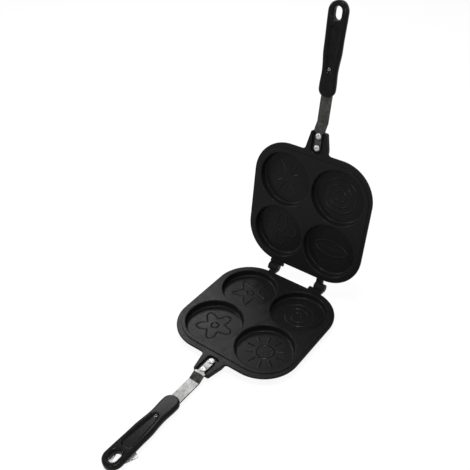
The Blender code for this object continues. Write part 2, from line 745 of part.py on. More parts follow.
def grip_section(y, half_width, top, bottom):
    """Give one D-shaped ring: a flat inner face, round edges and a full outer side."""
    edge = min(GRIP_EDGE_ROUND, half_width / 2)
    depth = top - edge - bottom
    right = [(half_width - edge, top)]
    for degrees in GRIP_EDGE_TURNS:
        turn = math.radians(degrees)
        right.append((half_width - edge + edge * math.sin(turn), top - edge + edge * math.cos(turn)))
    for i in range(6):
        turn = math.pi / 2 * i / 5
        x = half_width * math.cos(turn) ** GRIP_FULLNESS_SHARE
        right.append((x, top - edge - depth * math.sin(turn) ** GRIP_FULLNESS_SHARE))
    left = [(-x, z) for x, z in reversed(right[:-1])]
    return [(x, -y, z) for x, z in right + left]


def lofted(name, rings):
    """Skin a list of rings of points, each as long as the next, and close both ends."""
    shape = bmesh.new()
    loops = [[shape.verts.new(co) for co in ring] for ring in rings]
    for loop, following in zip(loops, loops[1:]):
        for i in range(len(loop)):
            j = (i + 1) % len(loop)
            shape.faces.new((loop[i], loop[j], following[j], following[i]))
    shape.faces.new(loops[0][::-1])
    shape.faces.new(loops[-1])
    bmesh.ops.remove_doubles(shape, verts=shape.verts, dist=MERGE_DISTANCE)
    bmesh.ops.recalc_face_normals(shape, faces=shape.faces)
    mesh = bpy.data.meshes.new(name)
    shape.to_mesh(mesh)
    shape.free()
    return mesh_object(name, mesh)


def raised_to(outline, level):
    """Give a flat outline its level."""
    return [(x, y, level) for x, y in outline]


def recess_cutter(name):
    """Make the scooped recess in the grip's face: a teardrop with sloping walls and a flat floor."""
    rings = []
    for level in (OVERRUN, RECESS_FLOOR):
        inset = (GRIP_END_TOP - level) * RECESS_SLOPE
        nose = RECESS_NOSE_HALF_WIDTH - inset
        end = RECESS_END_HALF_WIDTH - inset
        side = arc((0, -GRIP_RIVET_Y), nose, 90, 0, 4)
        side += arc((0, -RECESS_END + RECESS_END_HALF_WIDTH), end, -10, -90, 5)
        rings.append(raised_to(mirrored(side[1:-1]), level))
    return lofted(name, rings)


def hang_hole_cutter(name):
    """Make the hanging hole, with a full round where it meets the grip's face."""
    levels = []
    face = grip_top(HANG_HOLE_Y)
    for degrees in HANG_HOLE_TURNS:
        turn = math.radians(degrees)
        draw = HANG_HOLE_ROUND * (1 - math.sin(turn))
        levels.append((draw, face - HANG_HOLE_ROUND * (1 - math.cos(turn))))
    first, second = levels[:2]
    levels.insert(0, (2 * first[0] - second[0], 2 * first[1] - second[1]))
    levels.append((0, GRIP_BOTTOM - OVERRUN))
    rings = []
    for offset, level in levels:
        radius = HANG_HOLE_WIDTH / 2 + offset
        half_length = HANG_HOLE_LENGTH / 2 + offset
        low = -HANG_HOLE_Y - half_length
        outline = rounded_rectangle(radius, low, low + 2 * half_length, radius, 5)
        rings.append(raised_to(outline, level))
    return lofted(name, rings)


def build_grip(prefix, carrier, holds_clip):
    """Build one moulded grip: a lofted body with the strap's slot, the recess and the hole."""
    grip = lofted(prefix + "_grip", [grip_section(*station) for station in grip_stations()])
    if holds_clip:
        joined(grip, clip_ears(prefix))
    strap_half = STRAP_HALF_WIDTH + GAP
    pocket_end = -TANG_SHOULDER - GAP
    pocket = mirrored([(strap_half, pocket_end), (strap_half, -GRIP_NOSE + OVERRUN)])
    tang_half = STRAP_TANG_HALF_WIDTH + GAP
    slot = mirrored([(tang_half, -TANG_END - GAP), (tang_half, pocket_end + SEAT_OVERLAP)])
    low = STRAP_LOW_TOP - STRAP_THICKNESS - GAP
    high = STRAP_LOW_TOP + GAP
    bore = GRIP_RIVET_RADIUS + GAP
    counterbore = GRIP_RIVET_HEAD_RADIUS + GAP
    step = GRIP_BOTTOM + GRIP_COUNTERBORE_DEPTH
    profile = [(0, OVERRUN), (bore, OVERRUN), (bore, step), (counterbore, step)]
    profile += [(counterbore, GRIP_BOTTOM - OVERRUN), (0, GRIP_BOTTOM - OVERRUN)]
    place = Matrix.Translation((0, -GRIP_RIVET_Y, 0))
    cutters = [
        recess_cutter(prefix + "_recess"),
        hang_hole_cutter(prefix + "_hang_hole"),
        extruded(prefix + "_tang_slot", slot, low, high),
        turned(prefix + "_grip_rivet_hole", profile, SMALL_STEPS, place),
        extruded(prefix + "_strap_pocket", pocket, low, high),
    ]
    if holds_clip:
        clip_bore, clip_notch = clip_seat_cutters(prefix)
        cutters.insert(-1, clip_bore)
        cutters.append(clip_notch)
    cut(grip, cutters)
    return finished(grip, PHENOLIC, carrier)


def knuckle_radius():
    """Give the outer radius of the clip's knuckle."""
    return CLIP_PIN_RADIUS + GAP + CLIP_KNUCKLE_WALL


def clip_ears(prefix):
    """Make the block under the grip's end that the notch parts into two ears for the clip's pin."""
    outline = arc((-CLIP_PIN_Y, CLIP_PIN_Z), CLIP_EAR_RADIUS, -180, 0, 8)
    high = GRIP_END_BOTTOM + CLIP_EAR_ROOT
    outline += [(-CLIP_PIN_Y + CLIP_EAR_RADIUS, high), (-CLIP_PIN_Y - CLIP_EAR_RADIUS, high)]
    outer = CLIP_KNUCKLE_HALF_WIDTH + GAP + CLIP_EAR_WIDTH
    return [extruded(prefix + "_clip_ears", outline, -outer, outer, ACROSS)]


def clip_seat_cutters(prefix):
    """Make the pin's bore through the ears and the notch over the knuckle."""
    inner = CLIP_KNUCKLE_HALF_WIDTH + GAP
    reach = inner + CLIP_EAR_WIDTH + OVERRUN
    place = Matrix.Translation((0, -CLIP_PIN_Y, CLIP_PIN_Z)) @ ACROSS
    bore = rod(prefix + "_clip_bore", CLIP_PIN_RADIUS + GAP, -reach, reach, SMALL_STEPS, place)
    notch_radius = knuckle_radius() + CLIP_NOTCH_CLEARANCE
    notch = rod(prefix + "_clip_notch", notch_radius, -inner, inner, SMALL_STEPS, place)
    return [bore, notch]


def build_grip_rivet(name, carrier):
    """Build the hollow-headed rivet that fixes the grip to the tang."""
    seat = RECESS_FLOOR + GAP
    crown = seat + GRIP_RIVET_HEAD_HEIGHT
    under = GRIP_BOTTOM + GRIP_COUNTERBORE_DEPTH - GAP
    profile = [(0, crown - GRIP_RIVET_HOLLOW_DEPTH)]
    profile += [(GRIP_RIVET_HOLLOW_RADIUS, crown - GRIP_RIVET_HOLLOW_DEPTH)]
    profile += [(GRIP_RIVET_HOLLOW_RADIUS, crown), (GRIP_RIVET_HEAD_RADIUS, crown)]
    profile += [(GRIP_RIVET_HEAD_RADIUS, seat), (GRIP_RIVET_RADIUS, seat), (GRIP_RIVET_RADIUS, under)]
    profile += [(GRIP_RIVET_HEAD_RADIUS, under), (GRIP_RIVET_HEAD_RADIUS, under - GRIP_RIVET_HEAD_HEIGHT)]
    profile += [(0, under - GRIP_RIVET_HEAD_HEIGHT)]
    rivet = turned(name, profile, SMALL_STEPS, Matrix.Translation((0, -GRIP_RIVET_Y, 0)))
    return finished(rivet, ALUMINIUM, carrier)


def build_clip(carrier):
    """Build the sheet clip in the frame of its pin: a knuckle and a fan-shaped tab with a window."""
    inner = CLIP_KNUCKLE_HALF_WIDTH
    start = CLIP_PIN_Y - CLIP_FAN_START
    knee = CLIP_PIN_Y - CLIP_FAN_KNEE
    corner = CLIP_PIN_Y - CLIP_FREE_CORNER
    end = CLIP_PIN_Y - CLIP_FREE_END
    rise = end - corner
    radius = (CLIP_FREE_HALF_WIDTH**2 + rise**2) / (2 * rise)
    sweep = math.degrees(math.asin(CLIP_FREE_HALF_WIDTH / radius))
    right = [(inner, 0), (inner, start), (CLIP_FAN_KNEE_HALF_WIDTH, knee)]
    right += arc((0, end - radius), radius, 90 - sweep, 90 - sweep / 8, 4)
    half = CLIP_THICKNESS / 2
    clip = extruded("locking_clip", mirrored(right), -half, half)
    joined(clip, [rod("clip_knuckle", knuckle_radius(), -inner, inner, SMALL_STEPS, ACROSS)])
    reach = inner + OVERRUN
    eye = rod("clip_eye", CLIP_PIN_RADIUS + GAP, -reach, reach, SMALL_STEPS, ACROSS)
    low = CLIP_PIN_Y - CLIP_WINDOW_START
    high = CLIP_PIN_Y - CLIP_WINDOW_END
    near = CLIP_WINDOW_START_HALF_WIDTH
    far = CLIP_WINDOW_END_HALF_WIDTH
    window = arc((near - CLIP_WINDOW_ROUND, low + CLIP_WINDOW_ROUND), CLIP_WINDOW_ROUND, -90, 0, 3)
    window += arc((far - CLIP_WINDOW_ROUND, high - CLIP_WINDOW_ROUND), CLIP_WINDOW_ROUND, 0, 90, 3)
    cut(clip, [eye, extruded("clip_window", mirrored(window), -half - OVERRUN, half + OVERRUN)])
    return finished(clip, STEEL, carrier)


def build_clip_pin(carrier):
    """Build the plain pin that the clip swings on."""
    reach = CLIP_KNUCKLE_HALF_WIDTH + GAP + CLIP_EAR_WIDTH
    return finished(rod("clip_pin", CLIP_PIN_RADIUS, -reach, reach, SMALL_STEPS, ACROSS), STEEL, carrier)


def build_half(prefix, carrier, motifs, holds_clip):
    """Build the pieces that both halves have."""
    build_plate(prefix, carrier, motifs)
    build_strap(prefix, carrier)
    for name, y in RIVET_PLACES.items():
        build_lug_rivet("%s_%s_rivet" % (prefix, name), y, carrier)
    build_grip(prefix, carrier, holds_clip)
    build_grip_rivet(prefix + "_grip_rivet", carrier)


def new_empty(name, parent, location, rotation=(0, 0, 0)):
    """Add an empty that carries other objects."""
    empty = bpy.data.objects.new(name, None)
    PAN.objects.link(empty)
    empty.parent = parent
    empty.location = location
    empty.rotation_euler = rotation
    return empty


def centre_on_origin(frame):
    """Move the pan along Y until its box is centred over the origin."""
    bpy.context.view_layer.update()
    graph = bpy.context.evaluated_depsgraph_get()
    reach = []
    for obj in PAN.objects:
        if obj.type == "MESH":
            solid = obj.evaluated_get(graph)
            reach += [(solid.matrix_world @ vert.co).y for vert in solid.data.vertices]
    frame.location.y -= (min(reach) + max(reach)) / 2


clear_scene()
PAN = new_collection("double_sided_frying_pan")
CUTTERS = new_collection("cutters")
CASTING = new_material("cast aluminium with black non-stick coating", (0.035, 0.035, 0.037), 0.45, 0.0)
STEEL = new_material("stainless steel", (0.62, 0.62, 0.61), 0.3, 1.0)
ALUMINIUM = new_material("aluminium", (0.78, 0.78, 0.78), 0.35, 1.0)
PHENOLIC = new_material("black phenolic", (0.012, 0.012, 0.013), 0.18, 0.0)

frame = new_empty("pan_frame", None, (0, 0, -FOOT_BOTTOM))
lid_hinge = new_empty("lid_hinge", frame, (0, HINGE_Y, 0), (-OPEN_ANGLE, 0, 0))
lid = new_empty("lid_frame", lid_hinge, (0, -HINGE_Y, 0), (0, math.pi, 0))
clip_hinge = new_empty("clip_hinge", frame, (0, -CLIP_PIN_Y, CLIP_PIN_Z))

build_half("lower", frame, ("flower", "sun", "spiral", "star"), True)
build_half("upper", lid, ("ripples", "crystal", "quatrefoil", "leaf"), False)
build_hinge_pin("right_hinge_pin", frame)
build_hinge_pin("left_hinge_pin", lid)
build_clip(clip_hinge)
build_clip_pin(clip_hinge)
centre_on_origin(frame)
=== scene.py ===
import json
import math

import bmesh
import bpy
import numpy as np
from mathutils import Matrix, Vector


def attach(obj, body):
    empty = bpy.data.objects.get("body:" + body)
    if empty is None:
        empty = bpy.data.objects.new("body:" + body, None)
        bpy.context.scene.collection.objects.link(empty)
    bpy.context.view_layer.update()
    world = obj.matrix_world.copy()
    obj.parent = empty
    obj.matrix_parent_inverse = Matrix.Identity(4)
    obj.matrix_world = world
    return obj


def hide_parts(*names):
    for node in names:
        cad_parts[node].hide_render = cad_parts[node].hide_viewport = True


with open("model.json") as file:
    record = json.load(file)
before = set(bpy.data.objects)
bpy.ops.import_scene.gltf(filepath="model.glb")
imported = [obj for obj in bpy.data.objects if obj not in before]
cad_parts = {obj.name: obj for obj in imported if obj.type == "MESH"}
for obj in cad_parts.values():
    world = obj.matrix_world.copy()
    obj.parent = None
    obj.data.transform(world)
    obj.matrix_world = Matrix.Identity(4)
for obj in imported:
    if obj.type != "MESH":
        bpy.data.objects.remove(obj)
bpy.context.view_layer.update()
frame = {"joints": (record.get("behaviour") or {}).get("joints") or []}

# Sizes are in metres and follow the CAD model. Both halves are built lying in one casting frame:
# its XY plane is the parting plane, its origin the middle of the four cups, +Y runs to the hinge.
# Straps, rivets and grips lie on its -Y side, and their stations are distances from the origin.
MM = 0.001
GAP = 0.3 * MM
# how far a solid runs into the one it is united with, and a cutter past what it cuts
SINK = 1.0 * MM
CUTTER_OVERRUN = 2 * MM
CUTTER_REACH = 3 * MM
# turns an upright solid so that it lies along X, with its outline in the YZ plane
ACROSS = Matrix(((0, 0, 1, 0), (1, 0, 0, 0), (0, 1, 0, 0), (0, 0, 0, 1)))

# Levels of the casting, from the parting plane down
LAND_TOP = -0.15 * MM
LAND_RISE = 1.1 * MM
BAND_TOP = LAND_TOP - LAND_RISE
FLANGE_LOW = BAND_TOP - 3.0 * MM
CUP_FLOOR = LAND_TOP - 9.8 * MM
WALL = 2.8 * MM
BOWL_LOW = CUP_FLOOR - WALL
FOOT_LOW = BOWL_LOW - 1.4 * MM
LUG_TOP = BAND_TOP - 1.5 * MM
LUG_LOW = BAND_TOP - 6.7 * MM
CHANNEL_FLOOR = BAND_TOP - 3.05 * MM
STRAP_THICKNESS = 2.0 * MM
STRAP_TOP = CHANNEL_FLOOR + GAP + STRAP_THICKNESS

# Plan of the casting
PLATE_HALF_WIDTH = 90 * MM
PLATE_FRONT = 92.5 * MM
PLATE_BACK = 89 * MM
PLATE_CORNER = 51 * MM
PLATE_EDGE_ROUND = 0.8 * MM
LAND_HALF_WIDTH = 85.7 * MM
LAND_FRONT = 85.1 * MM
LAND_BACK = 84.7 * MM
LAND_CORNER = 46.7 * MM
LAND_EDGE_ROUND = 0.6 * MM
CUP_X = 40.6 * MM
CUP_Y = 40.4 * MM
RIM_RADIUS = 39.3 * MM
HINGE_X = 36.0 * MM
HINGE_Y = 100.0 * MM
LUG_TIP = 120.3 * MM

# Where the two halves and the clip stand, from the joints that the CAD model gives
LID_JOINT = next(joint for joint in frame["joints"] if joint["name"] == "lid_hinge")
CLIP_JOINT = next(joint for joint in frame["joints"] if joint["name"] == "clip_hinge")
OPENING = LID_JOINT["range_deg"][1]
LOWER_PLACE = Matrix.Translation(Vector(LID_JOINT["pos_m"]) - Vector((0, HINGE_Y, 0)))
OPENED = Matrix.Rotation(-math.radians(OPENING), 4, "X")
TURNED_OVER = Matrix.Rotation(math.pi, 4, "Y")
HINGE_TO_MIDDLE = Matrix.Translation((0, -HINGE_Y, 0))
UPPER_PLACE = Matrix.Translation(LID_JOINT["pos_m"]) @ OPENED @ HINGE_TO_MIDDLE @ TURNED_OVER
CLIP_PLACE = Matrix.Translation(CLIP_JOINT["pos_m"])


# Outlines

MERGE_DISTANCE = 0.002 * MM


def arc(centre, radius, start, end, steps):
    """Points of an arc between two angles in degrees, both ends included."""
    turns = np.radians(np.linspace(start, end, steps + 1))
    return [(centre[0] + radius * math.cos(t), centre[1] + radius * math.sin(t)) for t in turns]


def mirrored(points):
    """A right-hand outline closed with its mirror image in the Y axis."""
    return points + [(-x, y) for x, y in reversed(points)]


def rectangle(x_range, y_range):
    (x0, x1), (y0, y1) = x_range, y_range
    return [(x0, y0), (x1, y0), (x1, y1), (x0, y1)]


def rounded_rectangle(half_width, low, high, radius, steps):
    """A rectangle about the Y axis, from low to high, with its four corners rounded."""
    x = half_width - radius
    outline = arc((x, low + radius), radius, -90, 0, steps)
    outline += arc((x, high - radius), radius, 0, 90, steps)
    outline += arc((-x, high - radius), radius, 90, 180, steps)
    return outline + arc((-x, low + radius), radius, 180, 270, steps)


def without_repeats(outline):
    """The outline without points that lie on the one before."""
    kept = [outline[0]]
    for point in outline[1:]:
        if math.dist(point, kept[-1]) > MERGE_DISTANCE:
            kept.append(point)
    if math.dist(kept[0], kept[-1]) < MERGE_DISTANCE:
        kept.pop()
    return kept


def drawn_in(outline, inset):
    """The outline with every side moved inwards."""
    points = np.array(outline)
    before = points - np.roll(points, 1, axis=0)
    after = np.roll(points, -1, axis=0) - points
    before /= np.linalg.norm(before, axis=1)[:, None]
    after /= np.linalg.norm(after, axis=1)[:, None]
    following = np.roll(points, -1, axis=0)
    area = np.sum(points[:, 0] * following[:, 1] - following[:, 0] * points[:, 1])
    side = 1 if area > 0 else -1
    normal = np.stack((-before[:, 1] - after[:, 1], before[:, 0] + after[:, 0]), axis=1) * side
    normal /= np.linalg.norm(normal, axis=1)[:, None]
    across = np.stack((-before[:, 1], before[:, 0]), axis=1) * side
    stretch = np.clip(np.sum(normal * across, axis=1), 0.5, 1)
    return points + normal * (inset / stretch)[:, None]


# Solids

def mesh_piece(name, points, faces):
    """A mesh object from points and faces, with its faces turned outwards."""
    mesh = bpy.data.meshes.new(name)
    mesh.from_pydata([tuple(point) for point in points], [], faces)
    mesh.validate()
    obj = bpy.data.objects.new(name, mesh)
    bpy.context.scene.collection.objects.link(obj)
    shape = bmesh.new()
    shape.from_mesh(mesh)
    bmesh.ops.recalc_face_normals(shape, faces=shape.faces)
    shape.to_mesh(mesh)
    shape.free()
    return obj


def skinned(name, rings):
    """Skin rings of points, each as long as the next, into one solid with flat ends."""
    rings = [np.asarray(ring, float) for ring in rings]
    count = len(rings[0])
    points = np.concatenate(rings)
    faces = []
    for level in range(len(rings) - 1):
        start = level * count
        for i in range(count):
            j = (i + 1) % count
            faces.append((start + i, start + j, start + count + j, start + count + i))
    faces.append(tuple(range(count))[::-1])
    faces.append(tuple(range(len(points) - count, len(points))))
    return mesh_piece(name, points, faces)


def level_ring(outline, level):
    return [(x, y, level) for x, y in outline]


def prism(name, outline, low, high, low_round, high_round, direction=None):
    """A flat outline as a plate between two levels, with the edges of both faces rounded."""
    outline = without_repeats(outline)
    rings = []
    for turn in np.radians((0, 30, 60, 90)) if low_round else ():
        inset = low_round * (1 - math.sin(turn))
        rings.append(level_ring(drawn_in(outline, inset), low + low_round * (1 - math.cos(turn))))
    if not low_round:
        rings.append(level_ring(outline, low))
    for turn in np.radians((90, 60, 30, 0)) if high_round else ():
        inset = high_round * (1 - math.sin(turn))
        rings.append(level_ring(drawn_in(outline, inset), high - high_round * (1 - math.cos(turn))))
    if not high_round:
        rings.append(level_ring(outline, high))
    solid = skinned(name, rings)
    if direction is not None:
        solid.data.transform(direction)
    return solid


def turned_mesh(name, rings, first, last):
    """Skin rings of points about an axis, with one point on the axis at each end."""
    steps = len(rings[0])
    points = [first] + [point for ring in rings for point in ring] + [last]
    end = len(points) - 1
    faces = []
    for i in range(steps):
        j = (i + 1) % steps
        faces.append((0, 1 + i, 1 + j))
        for level in range(len(rings) - 1):
            start = 1 + level * steps
            faces.append((start + i, start + steps + i, start + steps + j, start + j))
        faces.append((end, end - steps + j, end - steps + i))
    return mesh_piece(name, points, faces)


def turned(name, profile, steps, place):
    """Turn a profile of (radius, height) points about an upright axis; its two ends are on the axis."""
    turns = np.linspace(0, 2 * math.pi, steps, endpoint=False)
    rings = [[(radius * math.cos(t), radius * math.sin(t), height) for t in turns]
             for radius, height in profile[1:-1]]
    solid = turned_mesh(name, rings, (0, 0, profile[0][1]), (0, 0, profile[-1][1]))
    solid.data.transform(place)
    return solid


def rod(name, radius, reach, steps, place):
    """A plain round bar from -reach to reach along its axis, used as a cutter."""
    return turned(name, [(0, reach), (radius, reach), (radius, -reach), (0, -reach)], steps, place)


def worked(target, steps):
    """Unite and cut the target with other solids, in order, and keep only the result."""
    for operation, others in steps:
        for other in others:
            step = target.modifiers.new(other.name, "BOOLEAN")
            step.operation = operation
            step.solver = "EXACT"
            step.object = other
    bpy.context.view_layer.update()
    graph = bpy.context.evaluated_depsgraph_get()
    result = bpy.data.meshes.new_from_object(target.evaluated_get(graph))
    target.modifiers.clear()
    target.data = result
    for operation, others in steps:
        for other in others:
            bpy.data.objects.remove(other)
    return target


def finished(obj, finish, body, nodes, place, sharp=32):
    """Shade a piece, put it in its place, give it its finish and tie it to the CAD model."""
    obj.data.transform(place)
    obj.data.shade_smooth()
    obj.data.set_sharp_from_angle(angle=math.radians(sharp))
    weighted = obj.modifiers.new("Even shading", "WEIGHTED_NORMAL")
    weighted.keep_sharp = True
    obj.data.materials.clear()
    obj.data.materials.append(finish)
    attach(obj, body)
    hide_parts(*nodes)


# Finishes

def hex_colour(code):
    """An sRGB hex colour as linear red, green, blue and alpha."""
    levels = [int(code[i:i + 2], 16) / 255 for i in (1, 3, 5)]
    return tuple(v / 12.92 if v <= 0.04045 else ((v + 0.055) / 1.055) ** 2.4 for v in levels) + (1,)


def add_node(tree, kind, settings=None, sockets=None, links=None, stops=None):
    """Add a node, set its properties, sockets and colour stops, and link its inputs."""
    node = tree.nodes.new(kind)
    for key, value in (settings or {}).items():
        setattr(node, key, value)
    for key, value in (sockets or {}).items():
        node.inputs[key].default_value = value
    for key, source in (links or {}).items():
        tree.links.new(source, node.inputs[key])
    if stops:
        for element, (position, value) in zip(node.color_ramp.elements, stops):
            element.position = position
            element.color = value if isinstance(value, tuple) else (value, value, value, 1)
    return node


def new_finish(name):
    """A new material, its node tree, and the place on the object for its patterns."""
    material = bpy.data.materials.new(name)
    material.use_nodes = True
    tree = material.node_tree
    return material, tree, add_node(tree, "ShaderNodeTexCoord").outputs["Object"]


def dress(tree, colour, rough_from, rough_stops, height, strength, depth):
    """Give the shader its colour, a roughness that follows one pattern, and relief from another."""
    shader = tree.nodes["Principled BSDF"]
    rough = add_node(tree, "ShaderNodeValToRGB", links={"Fac": rough_from}, stops=rough_stops)
    bump = add_node(tree, "ShaderNodeBump", sockets={"Strength": strength, "Distance": depth},
                    links={"Height": height})
    tree.links.new(colour, shader.inputs["Base Color"])
    tree.links.new(rough.outputs["Color"], shader.inputs["Roughness"])
    tree.links.new(bump.outputs["Normal"], shader.inputs["Normal"])
    return shader


def nonstick_coating():
    """Cast aluminium, sprayed with black non-stick: satin, with the fine grain of the sprayed coat."""
    # the real grain is about 0.1 mm and is drawn coarser so that it shows
    grain_size = 0.6 * MM
    # slow waves of the cast skin
    wave_size = 9 * MM
    material, tree, place = new_finish("non-stick coating sprayed on cast aluminium")
    grain = add_node(tree, "ShaderNodeTexNoise", links={"Vector": place},
                     sockets={"Scale": 1 / grain_size, "Detail": 3, "Roughness": 0.6})
    waves = add_node(tree, "ShaderNodeTexNoise", links={"Vector": place},
                     sockets={"Scale": 1 / wave_size, "Detail": 2})
    colour = add_node(tree, "ShaderNodeValToRGB", links={"Fac": grain.outputs["Fac"]},
                      stops=[(0.3, hex_colour("#0F0F10")), (0.7, hex_colour("#171718"))])
    heights = add_node(tree, "ShaderNodeMix", {"data_type": "FLOAT"}, {"Factor": 0.35},
                       {"A": grain.outputs["Fac"], "B": waves.outputs["Fac"]})
    shader = dress(tree, colour.outputs["Color"], waves.outputs["Fac"], [(0.3, 0.23), (0.7, 0.32)],
                   heights.outputs["Result"], strength=0.25, depth=0.06 * MM)
    shader.inputs["IOR"].default_value = 1.4
    shader.inputs["Specular IOR Level"].default_value = 0.06
    return material


def moulded_phenolic():
    """Black phenolic, compression moulded in a polished tool: deep gloss with faint flow marks."""
    # flow of the moulding powder
    flow_size = 6 * MM
    # handling marks, drawn coarser than the real hair scratches
    mark_size = 0.8 * MM
    material, tree, place = new_finish("black phenolic moulded and polished")
    flow = add_node(tree, "ShaderNodeTexNoise", sockets={"Scale": 1 / flow_size, "Detail": 3},
                    links={"Vector": place})
    marks = add_node(tree, "ShaderNodeTexNoise", sockets={"Scale": 1 / mark_size, "Detail": 4},
                     links={"Vector": place})
    colour = add_node(tree, "ShaderNodeValToRGB", links={"Fac": flow.outputs["Fac"]},
                      stops=[(0.3, hex_colour("#0B0B0C")), (0.7, hex_colour("#121213"))])
    shader = dress(tree, colour.outputs["Color"], marks.outputs["Fac"], [(0.35, 0.12), (0.75, 0.20)],
                   flow.outputs["Fac"], strength=0.12, depth=0.05 * MM)
    shader.inputs["IOR"].default_value = 1.5
    shader.inputs["Specular IOR Level"].default_value = 0.055
    return material


def painted_edge_shade(tree, colour, edge_shade_colour):
    """Paint shade on a level sheet: a darker colour wherever its surface doesn't look straight up or down.
    """
    edge_shade_stops = [(0.80, 0.0), (0.96, 1.0)]
    normal = add_node(tree, "ShaderNodeTexCoord").outputs["Normal"]
    parts = add_node(tree, "ShaderNodeSeparateXYZ", links={0: normal})
    upright = add_node(tree, "ShaderNodeMath", {"operation": "ABSOLUTE"}, links={0: parts.outputs["Z"]})
    # painted shade: the sheet's edges take the darker colour, and its level faces keep their own
    face = add_node(tree, "ShaderNodeValToRGB", links={"Fac": upright.outputs[0]}, stops=edge_shade_stops)
    mixed = add_node(tree, "ShaderNodeMix", {"data_type": "RGBA"}, {6: hex_colour(edge_shade_colour)},
                     {0: face.outputs["Color"], 7: colour})
    return mixed.outputs[2]


def worked_metal(name, colours, roughness, stretch, patch_size=5 * MM, edge_shade=None):
    """Metal with fine lines of its last working, stretched along one direction, and uneven patches.

    Sheet that is cut from a flat blank can have painted shade on its edges, a darker colour where its
    surface doesn't face up or down.
    """
    # drawn coarser than the real lines
    line_spacing = 0.4 * MM
    dark, light = (hex_colour(code) for code in colours)
    material, tree, place = new_finish(name)
    mapping = add_node(tree, "ShaderNodeMapping", sockets={"Scale": stretch}, links={"Vector": place})
    lines = add_node(tree, "ShaderNodeTexNoise", sockets={"Scale": 1 / line_spacing, "Detail": 3},
                     links={"Vector": mapping.outputs["Vector"]})
    patches = add_node(tree, "ShaderNodeTexNoise", sockets={"Scale": 1 / patch_size, "Detail": 2},
                       links={"Vector": place})
    blend = add_node(tree, "ShaderNodeMix", {"data_type": "FLOAT"}, {"Factor": 0.6},
                     {"A": lines.outputs["Fac"], "B": patches.outputs["Fac"]}).outputs["Result"]
    colour = add_node(tree, "ShaderNodeValToRGB", links={"Fac": blend},
                      stops=[(0.38, dark), (0.62, light)]).outputs["Color"]
    if edge_shade is not None:
        colour = painted_edge_shade(tree, colour, edge_shade)
    rough_stops = [(0.35, roughness[0]), (0.65, roughness[1])]
    shader = dress(tree, colour, blend, rough_stops, blend, strength=0.1, depth=0.02 * MM)
    shader.inputs["Metallic"].default_value = 1
    return material


LINES_ALONG = (1, 0.06, 1)
LINES_OF_SHEET = (1, 0.1, 1)
RINGS_ROUND_X = (0.2, 1, 1)
NO_LINES = (1, 1, 1)

COATING = nonstick_coating()
PHENOLIC = moulded_phenolic()
# stainless strip, rolled and polished along its length: long soft lines in a dark grey metal
STRIP = worked_metal("stainless strip rolled and polished", ("#2F2F2E", "#4A4A49"), (0.14, 0.22),
                     LINES_ALONG)
# steel sheet, stamped and zinc plated: pale and nearly matt, with painted shade darkening its edges
SHEET = worked_metal("steel sheet stamped and zinc plated", ("#DEDEDC", "#EEEEEC"), (0.62, 0.74),
                     LINES_OF_SHEET, edge_shade="#2E2E2D")
# steel pins, turned and blackened: almost as dark as the coating, with rings round the axis
DARK_PIN = worked_metal("steel pin turned and blackened", ("#2A2A2B", "#3C3C3D"), (0.34, 0.46),
                        RINGS_ROUND_X)
# steel pin, drawn and left bright: mid grey
PIN = worked_metal("steel pin drawn", ("#8F8E8C", "#B4B3B0"), (0.28, 0.40), RINGS_ROUND_X)
# aluminium rivets, upset cold: pale, uneven and a little dimpled
RIVET = worked_metal("aluminium rivet upset", ("#6E6E6D", "#B8B8B6"), (0.36, 0.50), NO_LINES, 1.1 * MM)
# hollow steel rivets of the grips, rolled over and blackened by the moulding heat
HOLLOW_RIVET = worked_metal("hollow steel rivet rolled over", ("#4C4C4B", "#777775"), (0.26, 0.38),
                            NO_LINES, 1 * MM)


# Motifs of the cup floors, in shares of the motif's radius

MOTIF_RADIUS = 27.0 * MM
STROKE_HALF_WIDTH = 1.25 * MM
STROKE_RISE = 0.55 * MM


def polar_line(reach, turns):
    return np.stack((reach * np.cos(turns), reach * np.sin(turns)), axis=1)


def lobed_line(mean, swing, lobes, steps=120):
    turns = np.linspace(0, 2 * math.pi, steps + 1)
    return polar_line(mean + swing * np.cos(lobes * turns), turns)


def star_line(tip, notch, points, steps=150):
    turns = np.linspace(0, 2 * math.pi, steps + 1)
    return polar_line(tip - (tip - notch) * np.abs(np.sin(points * turns / 2)), turns)


def ray_lines(inner, outer, count, first_turn=0.0):
    turns = [first_turn + 2 * math.pi * i / count for i in range(count)]
    return [np.array([(r * math.cos(t), r * math.sin(t)) for r in (inner, outer)]) for t in turns]


def spiral_line(inner, outer, turns, steps=140):
    share = np.linspace(0, 1, steps)
    return polar_line(inner + (outer - inner) * share, 2 * math.pi * turns * share)


def leaf_line(length, width, steps=100):
    turns = np.linspace(0, 2 * math.pi, steps + 1)
    bulge = np.copysign(np.abs(np.sin(turns)) ** 1.5, np.sin(turns))
    return np.stack((length * np.cos(turns), width * bulge), axis=1)


def ring_line(share):
    return lobed_line(share, 0, 1)


MOTIFS = {
    "flower": [lobed_line(0.70, 0.22, 5), ring_line(0.18)],
    "quatrefoil": [lobed_line(0.66, 0.27, 4), ring_line(0.18)],
    "sun": [ring_line(0.42)] + ray_lines(0.62, 0.96, 10),
    "spiral": [spiral_line(0.14, 0.92, 2.5)],
    "star": [star_line(0.96, 0.46, 5), ring_line(0.18)],
    "crystal": ray_lines(0.22, 0.96, 6) + ray_lines(0.40, 0.66, 6, math.pi / 6),
    "leaf": [leaf_line(0.95, 0.42), np.array([(-0.60, 0.0), (0.60, 0.0)])],
    "ripples": [ring_line(share) for share in (0.30, 0.60, 0.90)],
}


